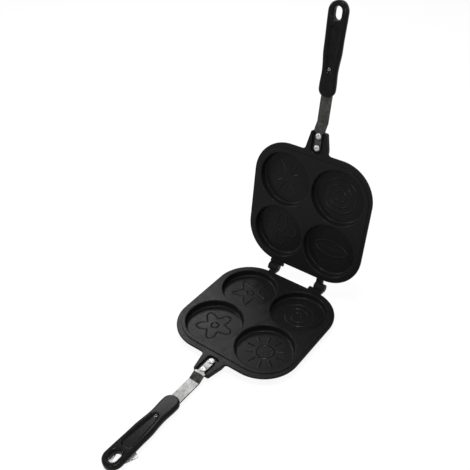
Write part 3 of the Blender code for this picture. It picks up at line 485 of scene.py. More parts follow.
def stroke_heights(motif, x, y):
    """How far the motif's rounded strokes rise over the cup's floor at each point."""
    nearest = np.full(x.shape, np.inf)
    for line in MOTIFS[motif]:
        line = line * MOTIF_RADIUS
        for start, end in zip(line, line[1:]):
            along = end - start
            length = max(float(along @ along), 1e-12)
            share = np.clip(((x - start[0]) * along[0] + (y - start[1]) * along[1]) / length, 0, 1)
            distance = np.hypot(x - start[0] - share * along[0], y - start[1] - share * along[1])
            nearest = np.minimum(nearest, distance)
    rise = 0.5 + 0.5 * np.cos(math.pi * np.clip(nearest / STROKE_HALF_WIDTH, 0, 1))
    return STROKE_RISE * rise


# Cups

RIM_ROUND = 1.6 * MM
RIM_TO_WALL = 0.8 * MM
CUP_WALL_HEIGHT = 9.0 * MM
CUP_DRAFT = math.radians(2.5)
CUP_FILLET = 2.5 * MM
CUP_STEPS = 216
CUP_FLOOR_RINGS = 66
CUP_LAST_RING = 0.4 * MM
BOWL_FILLET = 1.8 * MM
BOWL_ROUND = 4.5 * MM
FOOT_OUTER = 31.6 * MM
FOOT_INNER = 28.4 * MM
FOOT_DRAFT = 0.1 * MM
FOOT_ROUND = 0.4 * MM


def cup_cutter(name, centre, motif):
    """The space of one cup: a round rim, a drafted wall, a filleted floor and the motif's strokes."""
    top = RIM_RADIUS - RIM_TO_WALL
    low = top - CUP_WALL_HEIGHT * math.tan(CUP_DRAFT)
    above = LAND_TOP + CUTTER_OVERRUN
    profile = [(top + CUTTER_REACH, above)]
    profile += arc((top + RIM_ROUND, LAND_TOP - RIM_ROUND), RIM_ROUND, 101, 180, 9)
    profile += arc((low - CUP_FILLET, CUP_FLOOR + CUP_FILLET), CUP_FILLET, 0, -90, 8)
    flat = profile[-1][0]
    floor = np.linspace(flat, CUP_LAST_RING, CUP_FLOOR_RINGS)[1:]
    profile += [(radius, CUP_FLOOR) for radius in floor]
    turns = np.linspace(0, 2 * math.pi, CUP_STEPS, endpoint=False)
    rings = []
    for radius, height in profile:
        x, y = radius * np.cos(turns), radius * np.sin(turns)
        z = np.full(CUP_STEPS, height)
        if height == CUP_FLOOR:
            z = z + stroke_heights(motif, x, y)
        rings.append(list(zip(x + centre[0], y + centre[1], z)))
    middle = CUP_FLOOR + float(stroke_heights(motif, np.zeros(1), np.zeros(1))[0])
    return turned_mesh(name, rings, (*centre, above), (*centre, middle))


def bowl(name, centre):
    """The outside of one cup, filleted into the flange, with its foot ring."""
    radius = RIM_RADIUS + WALL
    root = radius + BOWL_FILLET
    profile = [(0, BAND_TOP - SINK), (root, BAND_TOP - SINK), (root, FLANGE_LOW)]
    profile += arc((root, FLANGE_LOW - BOWL_FILLET), BOWL_FILLET, 90, 180, 5)[1:]
    profile += arc((radius - BOWL_ROUND, BOWL_LOW + BOWL_ROUND), BOWL_ROUND, 0, -90, 8)
    outer = FOOT_OUTER - FOOT_DRAFT - FOOT_ROUND
    inner = FOOT_INNER + FOOT_DRAFT + FOOT_ROUND
    profile += [(FOOT_OUTER, BOWL_LOW)] + arc((outer, FOOT_LOW + FOOT_ROUND), FOOT_ROUND, 0, -90, 3)
    profile += arc((inner, FOOT_LOW + FOOT_ROUND), FOOT_ROUND, -90, -180, 3) + [(FOOT_INNER, BOWL_LOW)]
    profile += [(0, BOWL_LOW)]
    return turned(name, profile, 128, Matrix.Translation((*centre, 0)))


# Handle lug

LUG_TIP_HALF_WIDTH = 12.0 * MM
LUG_TIP_ROUND = 2.5 * MM
LUG_BASE_HALF_WIDTH = 16.2 * MM
LUG_BASE = 98.5 * MM
LUG_BASE_FILLET = 6 * MM
LUG_BACK = 70 * MM
LUG_EDGE_ROUND = 1.0 * MM
CHANNEL_HALF_WIDTH = 8.7 * MM
CHANNEL_END = 91.5 * MM
CHANNEL_CORNER = 4.5 * MM
# from the lip down to the floor's corner, in millimetres: how far in from the wall, and the level
CHANNEL_SECTION = [(-1.1, 1.4), (-0.2, 0.06), (0.02, -0.3), (0.0, -0.8), (0.0, -2.5), (0.12, -2.85),
                   (0.5, -3.05)]


def lug_side():
    """The handle lug's right-hand side in plan, from its tip to the fillet into the plate's front edge."""
    tip = (LUG_TIP_HALF_WIDTH - LUG_TIP_ROUND, LUG_TIP_ROUND - LUG_TIP)
    return arc(tip, LUG_TIP_ROUND, -90, 0, 8) + [(LUG_BASE_HALF_WIDTH, -LUG_BASE)]


def casting_outline():
    """The plan of the plate and its handle lug, in one line."""
    plate = rounded_rectangle(PLATE_HALF_WIDTH, -PLATE_FRONT, PLATE_BACK, PLATE_CORNER, 30)
    fillet = (LUG_BASE_HALF_WIDTH + LUG_BASE_FILLET, -LUG_BASE)
    right = lug_side() + arc(fillet, LUG_BASE_FILLET, 180, 90, 12)[1:]
    left = [(-x, y) for x, y in reversed(right)]
    return plate + left + right


def channel_cutter(name):
    """The open channel for the strap's tongue, with rounded lips and floor corners."""
    rings = []
    for inset, level in CHANNEL_SECTION:
        half = CHANNEL_HALF_WIDTH - inset * MM
        end = CHANNEL_END + inset * MM
        corner = (half - CHANNEL_CORNER, -end - CHANNEL_CORNER)
        side = [(half, -LUG_TIP - CUTTER_REACH)] + arc(corner, CHANNEL_CORNER, 0, 90, 8)
        rings.append(level_ring(mirrored(side), BAND_TOP + level * MM))
    return skinned(name, rings)


# Hinge: a fork on the right of each half takes the tongue on the left of the other

EAR_RADIUS = 6.0 * MM
EAR_ROOT = 80 * MM
EAR_EDGE_ROUND = 0.5 * MM
FORK_HALF_WIDTH = 10.5 * MM
SLOT_HALF_WIDTH = 5.3 * MM
SLOT_BACK = 93.7 * MM
NUB_END = 93.2 * MM
NUB_ROUND = 2.4 * MM
HINGE_TONGUE_HALF_WIDTH = 5 * MM
HINGE_TONGUE_ROUND = 0.3 * MM
HEEL_ROUND = 0.6 * MM
BORE_RADIUS = 2.3 * MM
BORE_REACH = 13 * MM
# clear of everything that the fork's cutters have to pass
FORK_CUT_HEIGHT = 8 * MM
FORK_CUT_END = 108 * MM
PIN_RADIUS = 2 * MM
PIN_OUTER = 10.8 * MM
PIN_INNER = 5.3 * MM
PIN_CROWN = 1.2 * MM
# the head from near its crown to its seat, in millimetres: radius and height
PIN_HEAD = [(1.8, 1.15), (2.6, 1.0), (3.1, 0.65), (3.3, 0.25), (3.3, 0)]


def hinge_outline(square_heel):
    """The side view of a fork or tongue, round at its end and running back under the flange."""
    root = [(EAR_ROOT, BAND_TOP - SINK), (EAR_ROOT, FLANGE_LOW + SINK)]
    top = [(PLATE_BACK, LAND_TOP), (PLATE_BACK - LAND_RISE, BAND_TOP - SINK)]
    end = 180 + math.degrees(math.asin(-LAND_TOP / EAR_RADIUS))
    low = 90 - OPENING
    front = arc((HINGE_Y, 0), EAR_RADIUS, -90, low, 14)
    back = arc((HINGE_Y, 0), EAR_RADIUS, low + 90, end, 14)
    over = arc((HINGE_Y, 0), EAR_RADIUS, low, low + 90, 14)[1:-1]
    if square_heel:
        turn = math.radians(low + 45)
        reach = (EAR_RADIUS - HEEL_ROUND) * math.sqrt(2)
        heel = (HINGE_Y + reach * math.cos(turn), reach * math.sin(turn))
        over = arc(heel, HEEL_ROUND, low, low + 90, 4)
    return root + front + over + back + top


def hinge_bore(x):
    place = Matrix.Translation((x, HINGE_Y, 0)) @ ACROSS
    return rod("bore", BORE_RADIUS, BORE_REACH, 40, place)


def build_fork():
    """The fork on the right: a full outer ear, a web behind the slot and a low inner nub."""
    fork = prism("fork", hinge_outline(False), HINGE_X - FORK_HALF_WIDTH, HINGE_X + FORK_HALF_WIDTH,
                 EAR_EDGE_ROUND, EAR_EDGE_ROUND, ACROSS)
    slot_outline = rectangle((SLOT_BACK, FORK_CUT_END), (-FORK_CUT_HEIGHT, FORK_CUT_HEIGHT))
    slot = prism("slot", slot_outline, HINGE_X - SLOT_HALF_WIDTH, HINGE_X + SLOT_HALF_WIDTH,
                 0, 0, ACROSS)
    nub_outline = [(FORK_CUT_END, FORK_CUT_HEIGHT), (NUB_END, FORK_CUT_HEIGHT)]
    nub_outline += arc((NUB_END, LAND_TOP - NUB_ROUND), NUB_ROUND, 90, -90, 12)
    nub_outline += [(NUB_END, -FORK_CUT_HEIGHT), (FORK_CUT_END, -FORK_CUT_HEIGHT)]
    nub = prism("nub", nub_outline, HINGE_X - FORK_HALF_WIDTH - CUTTER_OVERRUN,
                HINGE_X - SLOT_HALF_WIDTH + CUTTER_OVERRUN, 0, 0, ACROSS)
    return worked(fork, [("DIFFERENCE", [slot, nub, hinge_bore(HINGE_X)])])


def build_tongue():
    """The tongue on the left, whose square heel meets the other half's web when the pan is open."""
    half = HINGE_TONGUE_HALF_WIDTH
    tongue = prism("tongue", hinge_outline(True), -HINGE_X - half, -HINGE_X + half,
                   HINGE_TONGUE_ROUND, HINGE_TONGUE_ROUND, ACROSS)
    return worked(tongue, [("DIFFERENCE", [hinge_bore(-HINGE_X)])])


def build_casting(prefix, motifs):
    """One cast half lying in the casting frame."""
    flange = prism(prefix + "_casting", casting_outline(), FLANGE_LOW, BAND_TOP,
                   PLATE_EDGE_ROUND, PLATE_EDGE_ROUND)
    land_outline = rounded_rectangle(LAND_HALF_WIDTH, -LAND_FRONT, LAND_BACK, LAND_CORNER, 30)
    land = prism("land", land_outline, BAND_TOP - SINK, LAND_TOP, 0, LAND_EDGE_ROUND)
    lug_outline = mirrored(lug_side() + [(LUG_BASE_HALF_WIDTH, -LUG_BACK)])
    lug = prism("lug", lug_outline, LUG_LOW, LUG_TOP, LUG_EDGE_ROUND, 0)
    centres = [(-CUP_X, -CUP_Y), (CUP_X, -CUP_Y), (CUP_X, CUP_Y), (-CUP_X, CUP_Y)]
    bowls = [bowl("bowl_%d" % i, centre) for i, centre in enumerate(centres)]
    cups = [cup_cutter("cup_%d" % i, c, m) for i, (c, m) in enumerate(zip(centres, motifs))]
    return worked(flange, [
        ("UNION", [land, lug] + bowls + [build_fork(), build_tongue()]),
        ("DIFFERENCE", cups + [channel_cutter("channel")]),
    ])


def build_hinge_pin(name):
    """A pin through the outer ear and the other half's tongue, headed at both ends."""
    profile = [(0, PIN_OUTER + PIN_CROWN)] + [(r * MM, PIN_OUTER + h * MM) for r, h in PIN_HEAD]
    profile += [(PIN_RADIUS, PIN_OUTER), (PIN_RADIUS, -PIN_INNER)]
    profile += [(r * MM, -PIN_INNER - h * MM) for r, h in reversed(PIN_HEAD)]
    profile += [(0, -PIN_INNER - PIN_CROWN)]
    return turned(name, profile, 48, Matrix.Translation((HINGE_X, HINGE_Y, 0)) @ ACROSS)


# Straps and their rivets

STRAP_EDGE_ROUND = 0.35 * MM
STRAP_LEAST_HALF_WIDTH = 0.2 * MM
STRAP_TONGUE_CENTRE = 98.5 * MM
STRAP_TONGUE_RADIUS = 4.7 * MM
SHOULDER = 119.8 * MM
SHOULDER_ROUND = 1.2 * MM
STRAP_HALF_WIDTH = 7.9 * MM
TANG_START = 172 * MM
TANG_HALF_WIDTH = 5 * MM
STRAP_DROP = 4.6 * MM
BEND = 123.5 * MM
BEND_RUN = 9.0 * MM
BEND_RADIUS = 3.0 * MM
# stations in millimetres, closer together where the width changes
STRAP_TONGUE_STATIONS = list(np.linspace(93.82, 103, 16))
STRAP_TONGUE_STATIONS += [110, 118, 119.75, 119.85, 120.1, 120.5, 121.1, 122]
TANG_STATIONS = [140, 150, 160, 171.9, 172.1, 190, 206.4]
RIVET_PLACES = {"inner": 98.5 * MM, "outer": 114.7 * MM}
RIVET_RADIUS = 2 * MM
RIVET_UNDER = BAND_TOP - 7.0 * MM
# from the dimple to the rim, in millimetres: radius and height over the seat
RIVET_HEAD = [(0, 1.12), (0.5, 1.14), (0.9, 1.26), (1.3, 1.38), (2.2, 1.4), (3.1, 1.2), (3.8, 0.85),
              (4.15, 0.4), (4.2, 0)]


def strap_path():
    """Middle line of the strap as (y, z, lean), from the tongue's end to the tang's end."""
    slope = math.atan2(STRAP_DROP, BEND_RUN)
    setback = BEND_RADIUS * math.tan(slope / 2)
    high = STRAP_TOP - STRAP_THICKNESS / 2
    low = high - STRAP_DROP
    path = [(-y * MM, high, 0.0) for y in STRAP_TONGUE_STATIONS]
    for share in np.linspace(0, 1, 8):
        turn = slope * share
        y = -BEND + setback - BEND_RADIUS * math.sin(turn)
        path.append((y, high - BEND_RADIUS * (1 - math.cos(turn)), turn))
    for share in np.linspace(1, 0, 8):
        turn = slope * share
        y = -BEND - BEND_RUN - setback + BEND_RADIUS * math.sin(turn)
        path.append((y, low + BEND_RADIUS * (1 - math.cos(turn)), turn))
    path += [(-y * MM, low, 0.0) for y in TANG_STATIONS]
    return path


def strap_half_width(y):
    """Half the strap's width where it is y from the middle of the cups."""
    if y < STRAP_TONGUE_CENTRE:
        rest = STRAP_TONGUE_RADIUS ** 2 - (STRAP_TONGUE_CENTRE - y) ** 2
        return max(STRAP_LEAST_HALF_WIDTH, math.sqrt(max(0, rest)))
    if y < SHOULDER:
        return STRAP_TONGUE_RADIUS
    if y < SHOULDER + SHOULDER_ROUND:
        rest = SHOULDER_ROUND ** 2 - (SHOULDER + SHOULDER_ROUND - y) ** 2
        return STRAP_HALF_WIDTH - SHOULDER_ROUND + math.sqrt(max(0, rest))
    return STRAP_HALF_WIDTH if y < TANG_START else TANG_HALF_WIDTH


def build_strap(prefix):
    """One bent steel strap, two millimetres thick, with softened edges."""
    rings = []
    for y, z, lean in strap_path():
        half = strap_half_width(-y)
        soft = min(STRAP_EDGE_ROUND, half / 2)
        section = rounded_rectangle(half, -STRAP_THICKNESS / 2, STRAP_THICKNESS / 2, soft, 4)
        normal_y, normal_z = -math.sin(lean), math.cos(lean)
        rings.append([(x, y + t * normal_y, z + t * normal_z) for x, t in section])
    return skinned(prefix + "_strap_polished", rings)


def build_lug_rivet(name, y):
    """One upset rivet: a low domed head with a small dimple, and the same under the lug."""
    seat = STRAP_TOP + GAP
    profile = [(r * MM, seat + h * MM) for r, h in RIVET_HEAD]
    profile += [(RIVET_RADIUS, seat), (RIVET_RADIUS, RIVET_UNDER)]
    profile += [(r * MM, RIVET_UNDER - h * MM) for r, h in reversed(RIVET_HEAD)]
    return turned(name, profile, 64, Matrix.Translation((0, -y, 0)))


# Grips

GRIP_NOSE = 165.6 * MM
GRIP_NOSE_LENGTH = 10.2 * MM
GRIP_TIP = 282.0 * MM
GRIP_END_RADIUS = 13.3 * MM
GRIP_END_REACH = 13.09 * MM
GRIP_END_START = GRIP_TIP - GRIP_END_RADIUS
GRIP_EDGE_ROUND = 3.4 * MM
GRIP_FULLNESS_SHARE = 0.72
GRIP_LEAST_HALF_WIDTH = 0.25 * MM
# stations and half widths: behind the nose, the waist, the start of the palm, its end
GRIP_WIDTHS = [(179 * MM, 11.4 * MM), (197 * MM, 10.5 * MM), (226.1 * MM, 12.5 * MM),
               (268.7 * MM, 13.3 * MM)]
FACE_AT_NOSE = -1.8 * MM
FACE_RISE = 1.2 * MM
BELLY_AT_NOSE = -13 * MM
BELLY_RISE = 1.9 * MM
BELLY_RISE_START = 215 * MM
BELLY_RISE_LENGTH = 27 * MM
# the recess from its lip to its floor, in millimetres: how far in from the line, and the level
RECESS_SECTION = [(-1.5, 0.35), (-0.75, 0.03), (-0.3, -0.12), (0.1, -0.42), (0.55, -1.1), (0.9, -1.7),
                  (1.3, -2.0), (2.0, -2.15)]
RECESS_NARROW_RADIUS = 4.2
RECESS_WIDE_RADIUS = 7.8
RECESS_LEAST_RADIUS = 0.5
RECESS_WIDE_CENTRE = 245.7 * MM
HANG_HOLE_Y = 267.0 * MM
HANG_HOLE_RADIUS = 5.3 * MM
HANG_HOLE_HALF_LENGTH = 8.0 * MM
HANG_HOLE_FRONT_ROUND = 2.9 * MM
HANG_HOLE_BACK_ROUND = 2.6 * MM
# how far the cutter's two end rings are wider than the rounds, and how far they stand off
HANG_HOLE_FLARES = (1.45 * MM, 1.04 * MM)
HANG_HOLE_STAND_OFFS = (0.3 * MM, 0.6 * MM)
GRIP_RIVET_Y = 201.0 * MM
GRIP_RIVET_SEAT = -3.4 * MM
GRIP_RIVET_CROWN = GRIP_RIVET_SEAT + GAP + 0.7 * MM
GRIP_RIVET_UNDER = -11.9 * MM
GRIP_RIVET_RADIUS = 1.5 * MM
# the rolled ring from its hollow to its seat, in millimetres: radius, and level from the crown
GRIP_RIVET_RING = [(0, -1.2), (1.0, -1.2), (1.1, -0.3), (1.25, -0.08), (1.5, 0), (1.8, -0.08),
                   (2.05, -0.3), (2.15, -0.7)]
# the foot from its shelf down, in millimetres: radius, and level from the shelf
GRIP_RIVET_FOOT = [(2.3, 0), (2.2, -0.4), (1.7, -0.7), (0, -0.7)]
# the hole for it runs past the grip's belly and into the recess
GRIP_RIVET_HOLE = (-14.5 * MM, -2 * MM)


def grip_top(y):
    return FACE_AT_NOSE + FACE_RISE * (y - GRIP_NOSE) / (GRIP_TIP - GRIP_NOSE)


def grip_bottom(y):
    share = min(1, max(0, (y - BELLY_RISE_START) / BELLY_RISE_LENGTH))
    return BELLY_AT_NOSE + BELLY_RISE * share * share * (3 - 2 * share)


def eased(start, end, share):
    return start + (end - start) * (1 - math.cos(math.pi * share)) / 2


def grip_half_width(y):
    """Half the grip's width: round nose, swell, waist, palm, round end."""
    first_y, first_width = GRIP_WIDTHS[0]
    if y < first_y:
        before = max(0, GRIP_NOSE + GRIP_NOSE_LENGTH - y) / GRIP_NOSE_LENGTH
        return first_width * math.sqrt(max(0, 1 - before ** 2))
    for (y0, w0), (y1, w1) in zip(GRIP_WIDTHS, GRIP_WIDTHS[1:]):
        if y <= y1:
            return eased(w0, w1, (y - y0) / (y1 - y0))
    past = (y - GRIP_END_START) / GRIP_END_REACH
    return GRIP_END_RADIUS * math.sqrt(max(0, 1 - past ** 2))


def grip_ring(y, along):
    """One D-shaped ring: a flat inner face, round edges and a full outer side.

    Nearer to either end of the grip than its edge round, the ring is drawn in by that round.
    """
    half = max(grip_half_width(y), GRIP_LEAST_HALF_WIDTH)
    short = max(0, GRIP_EDGE_ROUND - along)
    inset = GRIP_EDGE_ROUND - math.sqrt(max(0, GRIP_EDGE_ROUND ** 2 - short ** 2))
    top, bottom = grip_top(y) - inset, grip_bottom(y) + inset
    edge = min(GRIP_EDGE_ROUND, half / 2, (top - bottom) / 2)
    depth = top - edge - bottom
    turns = np.radians(np.linspace(0, 90, 11))
    right = [(half - edge + edge * math.sin(t), top - edge + edge * math.cos(t)) for t in turns]
    for turn in np.radians(np.linspace(0, 90, 22))[1:]:
        x = half * math.cos(turn) ** GRIP_FULLNESS_SHARE if turn < math.pi / 2 - 1e-6 else 0
        right.append((x, top - edge - depth * math.sin(turn) ** GRIP_FULLNESS_SHARE))
    left = [(-x, z) for x, z in reversed(right[:-1])]
    return [(x, -y, z) for x, z in right + left]


def on_face(rings):
    """Lift cutters that are drawn on a level face onto the grip's slightly leaning face."""
    return [[(x, y, z + grip_top(-y)) for x, y, z in ring] for ring in rings]


def recess_cutter(name):
    """The scooped recess: rounded lips, sloping walls and a hollow floor."""
    rings = []
    for inset, level in RECESS_SECTION:
        narrow = max(RECESS_NARROW_RADIUS - inset, RECESS_LEAST_RADIUS) * MM
        wide = (RECESS_WIDE_RADIUS - inset) * MM
        side = arc((0, -GRIP_RIVET_Y), narrow, 90, 0, 12)
        side += arc((0, -RECESS_WIDE_CENTRE), wide, -8, -90, 16)
        rings.append(level_ring(mirrored(side[1:-1]), level * MM))
    return skinned(name, on_face(rings))


def hang_hole_cutter(name):
    """The hanging hole, with a full round on the face and another on the outer side."""
    depth = grip_top(HANG_HOLE_Y) - grip_bottom(HANG_HOLE_Y)
    front, back = HANG_HOLE_FRONT_ROUND, HANG_HOLE_BACK_ROUND
    section = [(front + HANG_HOLE_FLARES[0], HANG_HOLE_STAND_OFFS[0])]
    for turn in np.radians(np.linspace(12, 90, 8)):
        section.append((front * (1 - math.sin(turn)), -front * (1 - math.cos(turn))))
    for turn in np.radians(np.linspace(0, 75, 7)):
        section.append((back * (1 - math.cos(turn)), back * (1 - math.sin(turn)) - depth))
    section.append((back + HANG_HOLE_FLARES[1], -depth - HANG_HOLE_STAND_OFFS[1]))
    rings = []
    for offset, level in section:
        radius = HANG_HOLE_RADIUS + offset
        half_length = HANG_HOLE_HALF_LENGTH + offset
        outline = rounded_rectangle(radius, -HANG_HOLE_Y - half_length, -HANG_HOLE_Y + half_length,
                                    radius, 14)
        rings.append(level_ring(without_repeats(outline), level))
    return skinned(name, on_face(rings))


def grip_stations():
    """Where the grip's rings lie: closer together round the nose and the end."""
    nose_turns = np.linspace(0.05, math.pi / 2, 18)
    end_turns = np.linspace(0, math.pi / 2 - 0.05, 22)[1:]
    nose = GRIP_NOSE + GRIP_NOSE_LENGTH * (1 - np.cos(nose_turns))
    body = np.linspace(GRIP_NOSE + GRIP_NOSE_LENGTH, GRIP_END_START, 60)[1:]
    end = GRIP_END_START + GRIP_END_REACH * np.sin(end_turns)
    return [float(y) for y in (*nose, *body, *end)]


def grip_cutters():
    """The recess, the hanging hole, the rivet's hole and the socket for the strap."""
    head, shank = GRIP_RIVET_FOOT[0][0] * MM + GAP, GRIP_RIVET_RADIUS + GAP
    shelf = GRIP_RIVET_UNDER + GAP
    below, above = GRIP_RIVET_HOLE
    hole = [(0, below), (head, below), (head, shelf), (shank, shelf), (shank, above), (0, above)]
    half = STRAP_HALF_WIDTH + GAP
    socket = mirrored([(half, -TANG_START - GAP), (half, -GRIP_NOSE + CUTTER_OVERRUN)])
    strap_top = STRAP_TOP - STRAP_DROP
    return [
        recess_cutter("recess"),
        hang_hole_cutter("hang_hole"),
        turned("rivet_hole", hole, 40, Matrix.Translation((0, -GRIP_RIVET_Y, 0))),
        prism("socket", socket, strap_top - STRAP_THICKNESS - GAP, strap_top + GAP, 0, 0),
    ]


def build_grip(prefix, holds_clip):
    """One grip; the lower one also has the two ears and the notch for the clip."""
    rings = []
    for y in grip_stations():
        along = min(y - GRIP_NOSE, GRIP_END_START + GRIP_END_REACH - y)
        rings.append(grip_ring(y, along))
    grip = skinned(prefix + "_grip_moulded", rings)
    cutters = grip_cutters()
    steps = [("DIFFERENCE", cutters)]
    if holds_clip:
        place = Matrix.Translation((0, -CLIP_PIN_Y, CLIP_PIN_Z)) @ ACROSS
        cutters += [
            rod("clip_bore", CLIP_BORE_RADIUS, CLIP_BORE_REACH, 32, place),
            rod("notch", NOTCH_RADIUS, NOTCH_HALF_WIDTH, 48, place),
        ]
        steps.insert(0, ("UNION", [clip_ears()]))
    return worked(grip, steps)


def build_grip_rivet(prefix):
    """The small hollow rivet at the narrow end of the recess."""
    profile = [(r * MM, GRIP_RIVET_CROWN + h * MM) for r, h in GRIP_RIVET_RING]
    profile += [(GRIP_RIVET_RADIUS, profile[-1][1]), (GRIP_RIVET_RADIUS, GRIP_RIVET_UNDER)]
    profile += [(r * MM, GRIP_RIVET_UNDER + h * MM) for r, h in GRIP_RIVET_FOOT]
    place = Matrix.Translation((0, -GRIP_RIVET_Y, 0))
    return turned(prefix + "_grip_rivet_rolled", profile, 48, place)


# Locking clip, in the frame of its pin

CLIP_PIN_Y = 277.0 * MM
CLIP_PIN_Z = -12.2 * MM
EARS_ROUND = 1.6 * MM
EARS_EDGE_ROUND = 0.3 * MM
EARS_HALF_WIDTH = 7.4 * MM
EARS_TOP = -7.6 * MM
NOTCH_RADIUS = 2.0 * MM
NOTCH_HALF_WIDTH = 4.8 * MM
CLIP_BORE_RADIUS = 1.0 * MM
CLIP_BORE_REACH = 9 * MM
CLIP_EYE_REACH = 6 * MM
SHEET_HALF_THICKNESS = 0.5 * MM
SHEET_EDGE_ROUND = 0.4 * MM
TAB_LENGTH = 33 * MM
TAB_HALF_WIDTH = 16.6 * MM
TAB_END_RISE = 4.5 * MM
# the tab's right side from the knuckle to its widest place
TAB_SIDE = [(4.5 * MM, 0), (4.5 * MM, 3 * MM), (5.6 * MM, 5.2 * MM), (7.6 * MM, 9.2 * MM),
            (9.8 * MM, 13.5 * MM), (13.2 * MM, 21 * MM)]
TAB_CORNER = (12.75 * MM, 27.28 * MM)
TAB_CORNER_ROUND = 3 * MM
# the first and last angle, in degrees, of the tab's corner and of its bowed end
TAB_CORNER_TURNS = (-24, 59)
TAB_END_TURNS = (64.6, 89)
WINDOW_ROUND = 2 * MM
WINDOW_NEAR = (2.6 * MM, 10.6 * MM)
WINDOW_FAR = (5 * MM, 21 * MM)
KNUCKLE_RADIUS = 1.5 * MM
KNUCKLE_HALF_WIDTH = 4.5 * MM
CLIP_PIN_RADIUS = 0.7 * MM
CHAMFER = 0.2 * MM


def clip_ears():
    """The two ears under the end of the lower grip, in one bar before the notch parts them."""
    outline = arc((-CLIP_PIN_Y, CLIP_PIN_Z), EARS_ROUND, -180, 0, 20)
    outline += [(-CLIP_PIN_Y + EARS_ROUND, EARS_TOP), (-CLIP_PIN_Y - EARS_ROUND, EARS_TOP)]
    return prism("ears", outline, -EARS_HALF_WIDTH, EARS_HALF_WIDTH,
                 EARS_EDGE_ROUND, EARS_EDGE_ROUND, ACROSS)


def chamfered_bar(name, radius, half_length, steps):
    """A round bar across the pan with both ends chamfered."""
    face, body = radius - CHAMFER, half_length - CHAMFER
    profile = [(0, half_length), (face, half_length), (radius, body), (radius, -body)]
    return turned(name, profile + [(face, -half_length), (0, -half_length)], steps, ACROSS)


def build_clip():
    """The stamped tab with its rolled knuckle and its window."""
    end_radius = (TAB_HALF_WIDTH ** 2 + TAB_END_RISE ** 2) / (2 * TAB_END_RISE)
    right = TAB_SIDE + arc(TAB_CORNER, TAB_CORNER_ROUND, *TAB_CORNER_TURNS, 8)
    right += arc((0, TAB_LENGTH - end_radius), end_radius, *TAB_END_TURNS, 18)
    tab = prism("locking_clip_sheet", mirrored(right), -SHEET_HALF_THICKNESS, SHEET_HALF_THICKNESS,
                SHEET_EDGE_ROUND, SHEET_EDGE_ROUND)
    knuckle = chamfered_bar("knuckle", KNUCKLE_RADIUS, KNUCKLE_HALF_WIDTH, 48)
    eye = rod("eye", CLIP_BORE_RADIUS, CLIP_EYE_REACH, 32, ACROSS)
    window = arc(WINDOW_NEAR, WINDOW_ROUND, -90, 0, 6) + arc(WINDOW_FAR, WINDOW_ROUND, 0, 90, 6)
    window = prism("window", mirrored(window), -CUTTER_OVERRUN, CUTTER_OVERRUN, 0, 0)
    return worked(tab, [("UNION", [knuckle]), ("DIFFERENCE", [eye, window])])


# The pan

def build_half(prefix, place, motifs, holds_clip):
    """One half: the casting, its strap with two rivets, its grip and the grip's rivet."""
    body = prefix + "_half"
    casting = build_casting(prefix, motifs)
    finished(casting, COATING, body, [prefix + "_plate"], place)
    finished(build_strap(prefix), STRIP, body, [prefix + "_strap"], place, sharp=40)
    for name, y in RIVET_PLACES.items():
        rivet = build_lug_rivet("%s_%s_rivet_upset" % (prefix, name), y)
        finished(rivet, RIVET, body, ["%s_%s_rivet" % (prefix, name)], place)
    finished(build_grip(prefix, holds_clip), PHENOLIC, body, [prefix + "_grip"], place)
    grip_rivet = build_grip_rivet(prefix)
    finished(grip_rivet, HOLLOW_RIVET, body, [prefix + "_grip_rivet"], place)


build_half("lower", LOWER_PLACE, ("flower", "sun", "spiral", "star"), True)
build_half("upper", UPPER_PLACE, ("ripples", "crystal", "quatrefoil", "leaf"), False)
for side, body, place in (("right", "lower_half", LOWER_PLACE), ("left", "upper_half", UPPER_PLACE)):
    pin = build_hinge_pin(side + "_hinge_pin_turned")
    finished(pin, DARK_PIN, body, [side + "_hinge_pin"], place)
finished(build_clip(), SHEET, "clip", ["locking_clip"], CLIP_PLACE)
clip_pin = chamfered_bar("clip_pin_turned", CLIP_PIN_RADIUS, EARS_HALF_WIDTH, 32)
finished(clip_pin, PIN, "lower_half", ["clip_pin"], CLIP_PLACE)


# Studio

FLOOR_REACH = 4
# just under the pan's feet, so that the two surfaces don't flicker
FLOOR_LEVEL = -0.0002
FLOOR_COLOUR = hex_colour("#F4F4F2")
WHITE = (1, 1, 1, 1)
# how much of the floor is plain white to the eye; the rest shows the shadow
FLOOR_WHITE_SHARE = 0.9
WORLD_STRENGTH = 0.42
# name, place, aim, width and power of each square lamp, in metres and watts
SOFTBOXES = [
    ("overhead softbox", (0.05, 0.0, 1.5), (0.05, 0.05, 0.1), 0.3, 14),
    ("back left softbox", (-0.90, 0.78, 1.20), (0, 0.0, 0.0), 0.5, 11),
    ("back right softbox", (0.95, 1.0, 0.8), (0, 0.05, 0.0), 0.3, 5),
    ("front left softbox", (-1.45, -0.72, 0.72), (0, 0.15, 0.15), 0.3, 14),
    ("low front softbox", (0.3, -1.6, 0.6), (0, 0.15, 0.15), 0.3, 9),
]
# the camera's direction and roll in degrees, solved from the photograph's cup rims
CAMERA_TURN = 36.942
CAMERA_RISE = 36.659
CAMERA_ROLL = -0.491
CAMERA_DISTANCE = 1.00805
CAMERA_NEAR = 0.05
CAMERA_TARGET = (-0.13184, 0.12804, 0)
FOCAL_PIXELS = 641.34
FRAME_PIXELS = 470
SENSOR_MM = 36


def seen_directly(tree):
    """One for rays from the camera, from reflections and through glass, and zero for light."""
    path = add_node(tree, "ShaderNodeLightPath")
    seen = add_node(tree, "ShaderNodeMath", {"operation": "MAXIMUM"},
                    links={0: path.outputs["Is Camera Ray"], 1: path.outputs["Is Glossy Ray"]})
    seen = add_node(tree, "ShaderNodeMath", {"operation": "MAXIMUM"},
                    links={0: seen.outputs[0], 1: path.outputs["Is Transmission Ray"]})
    return seen.outputs[0]


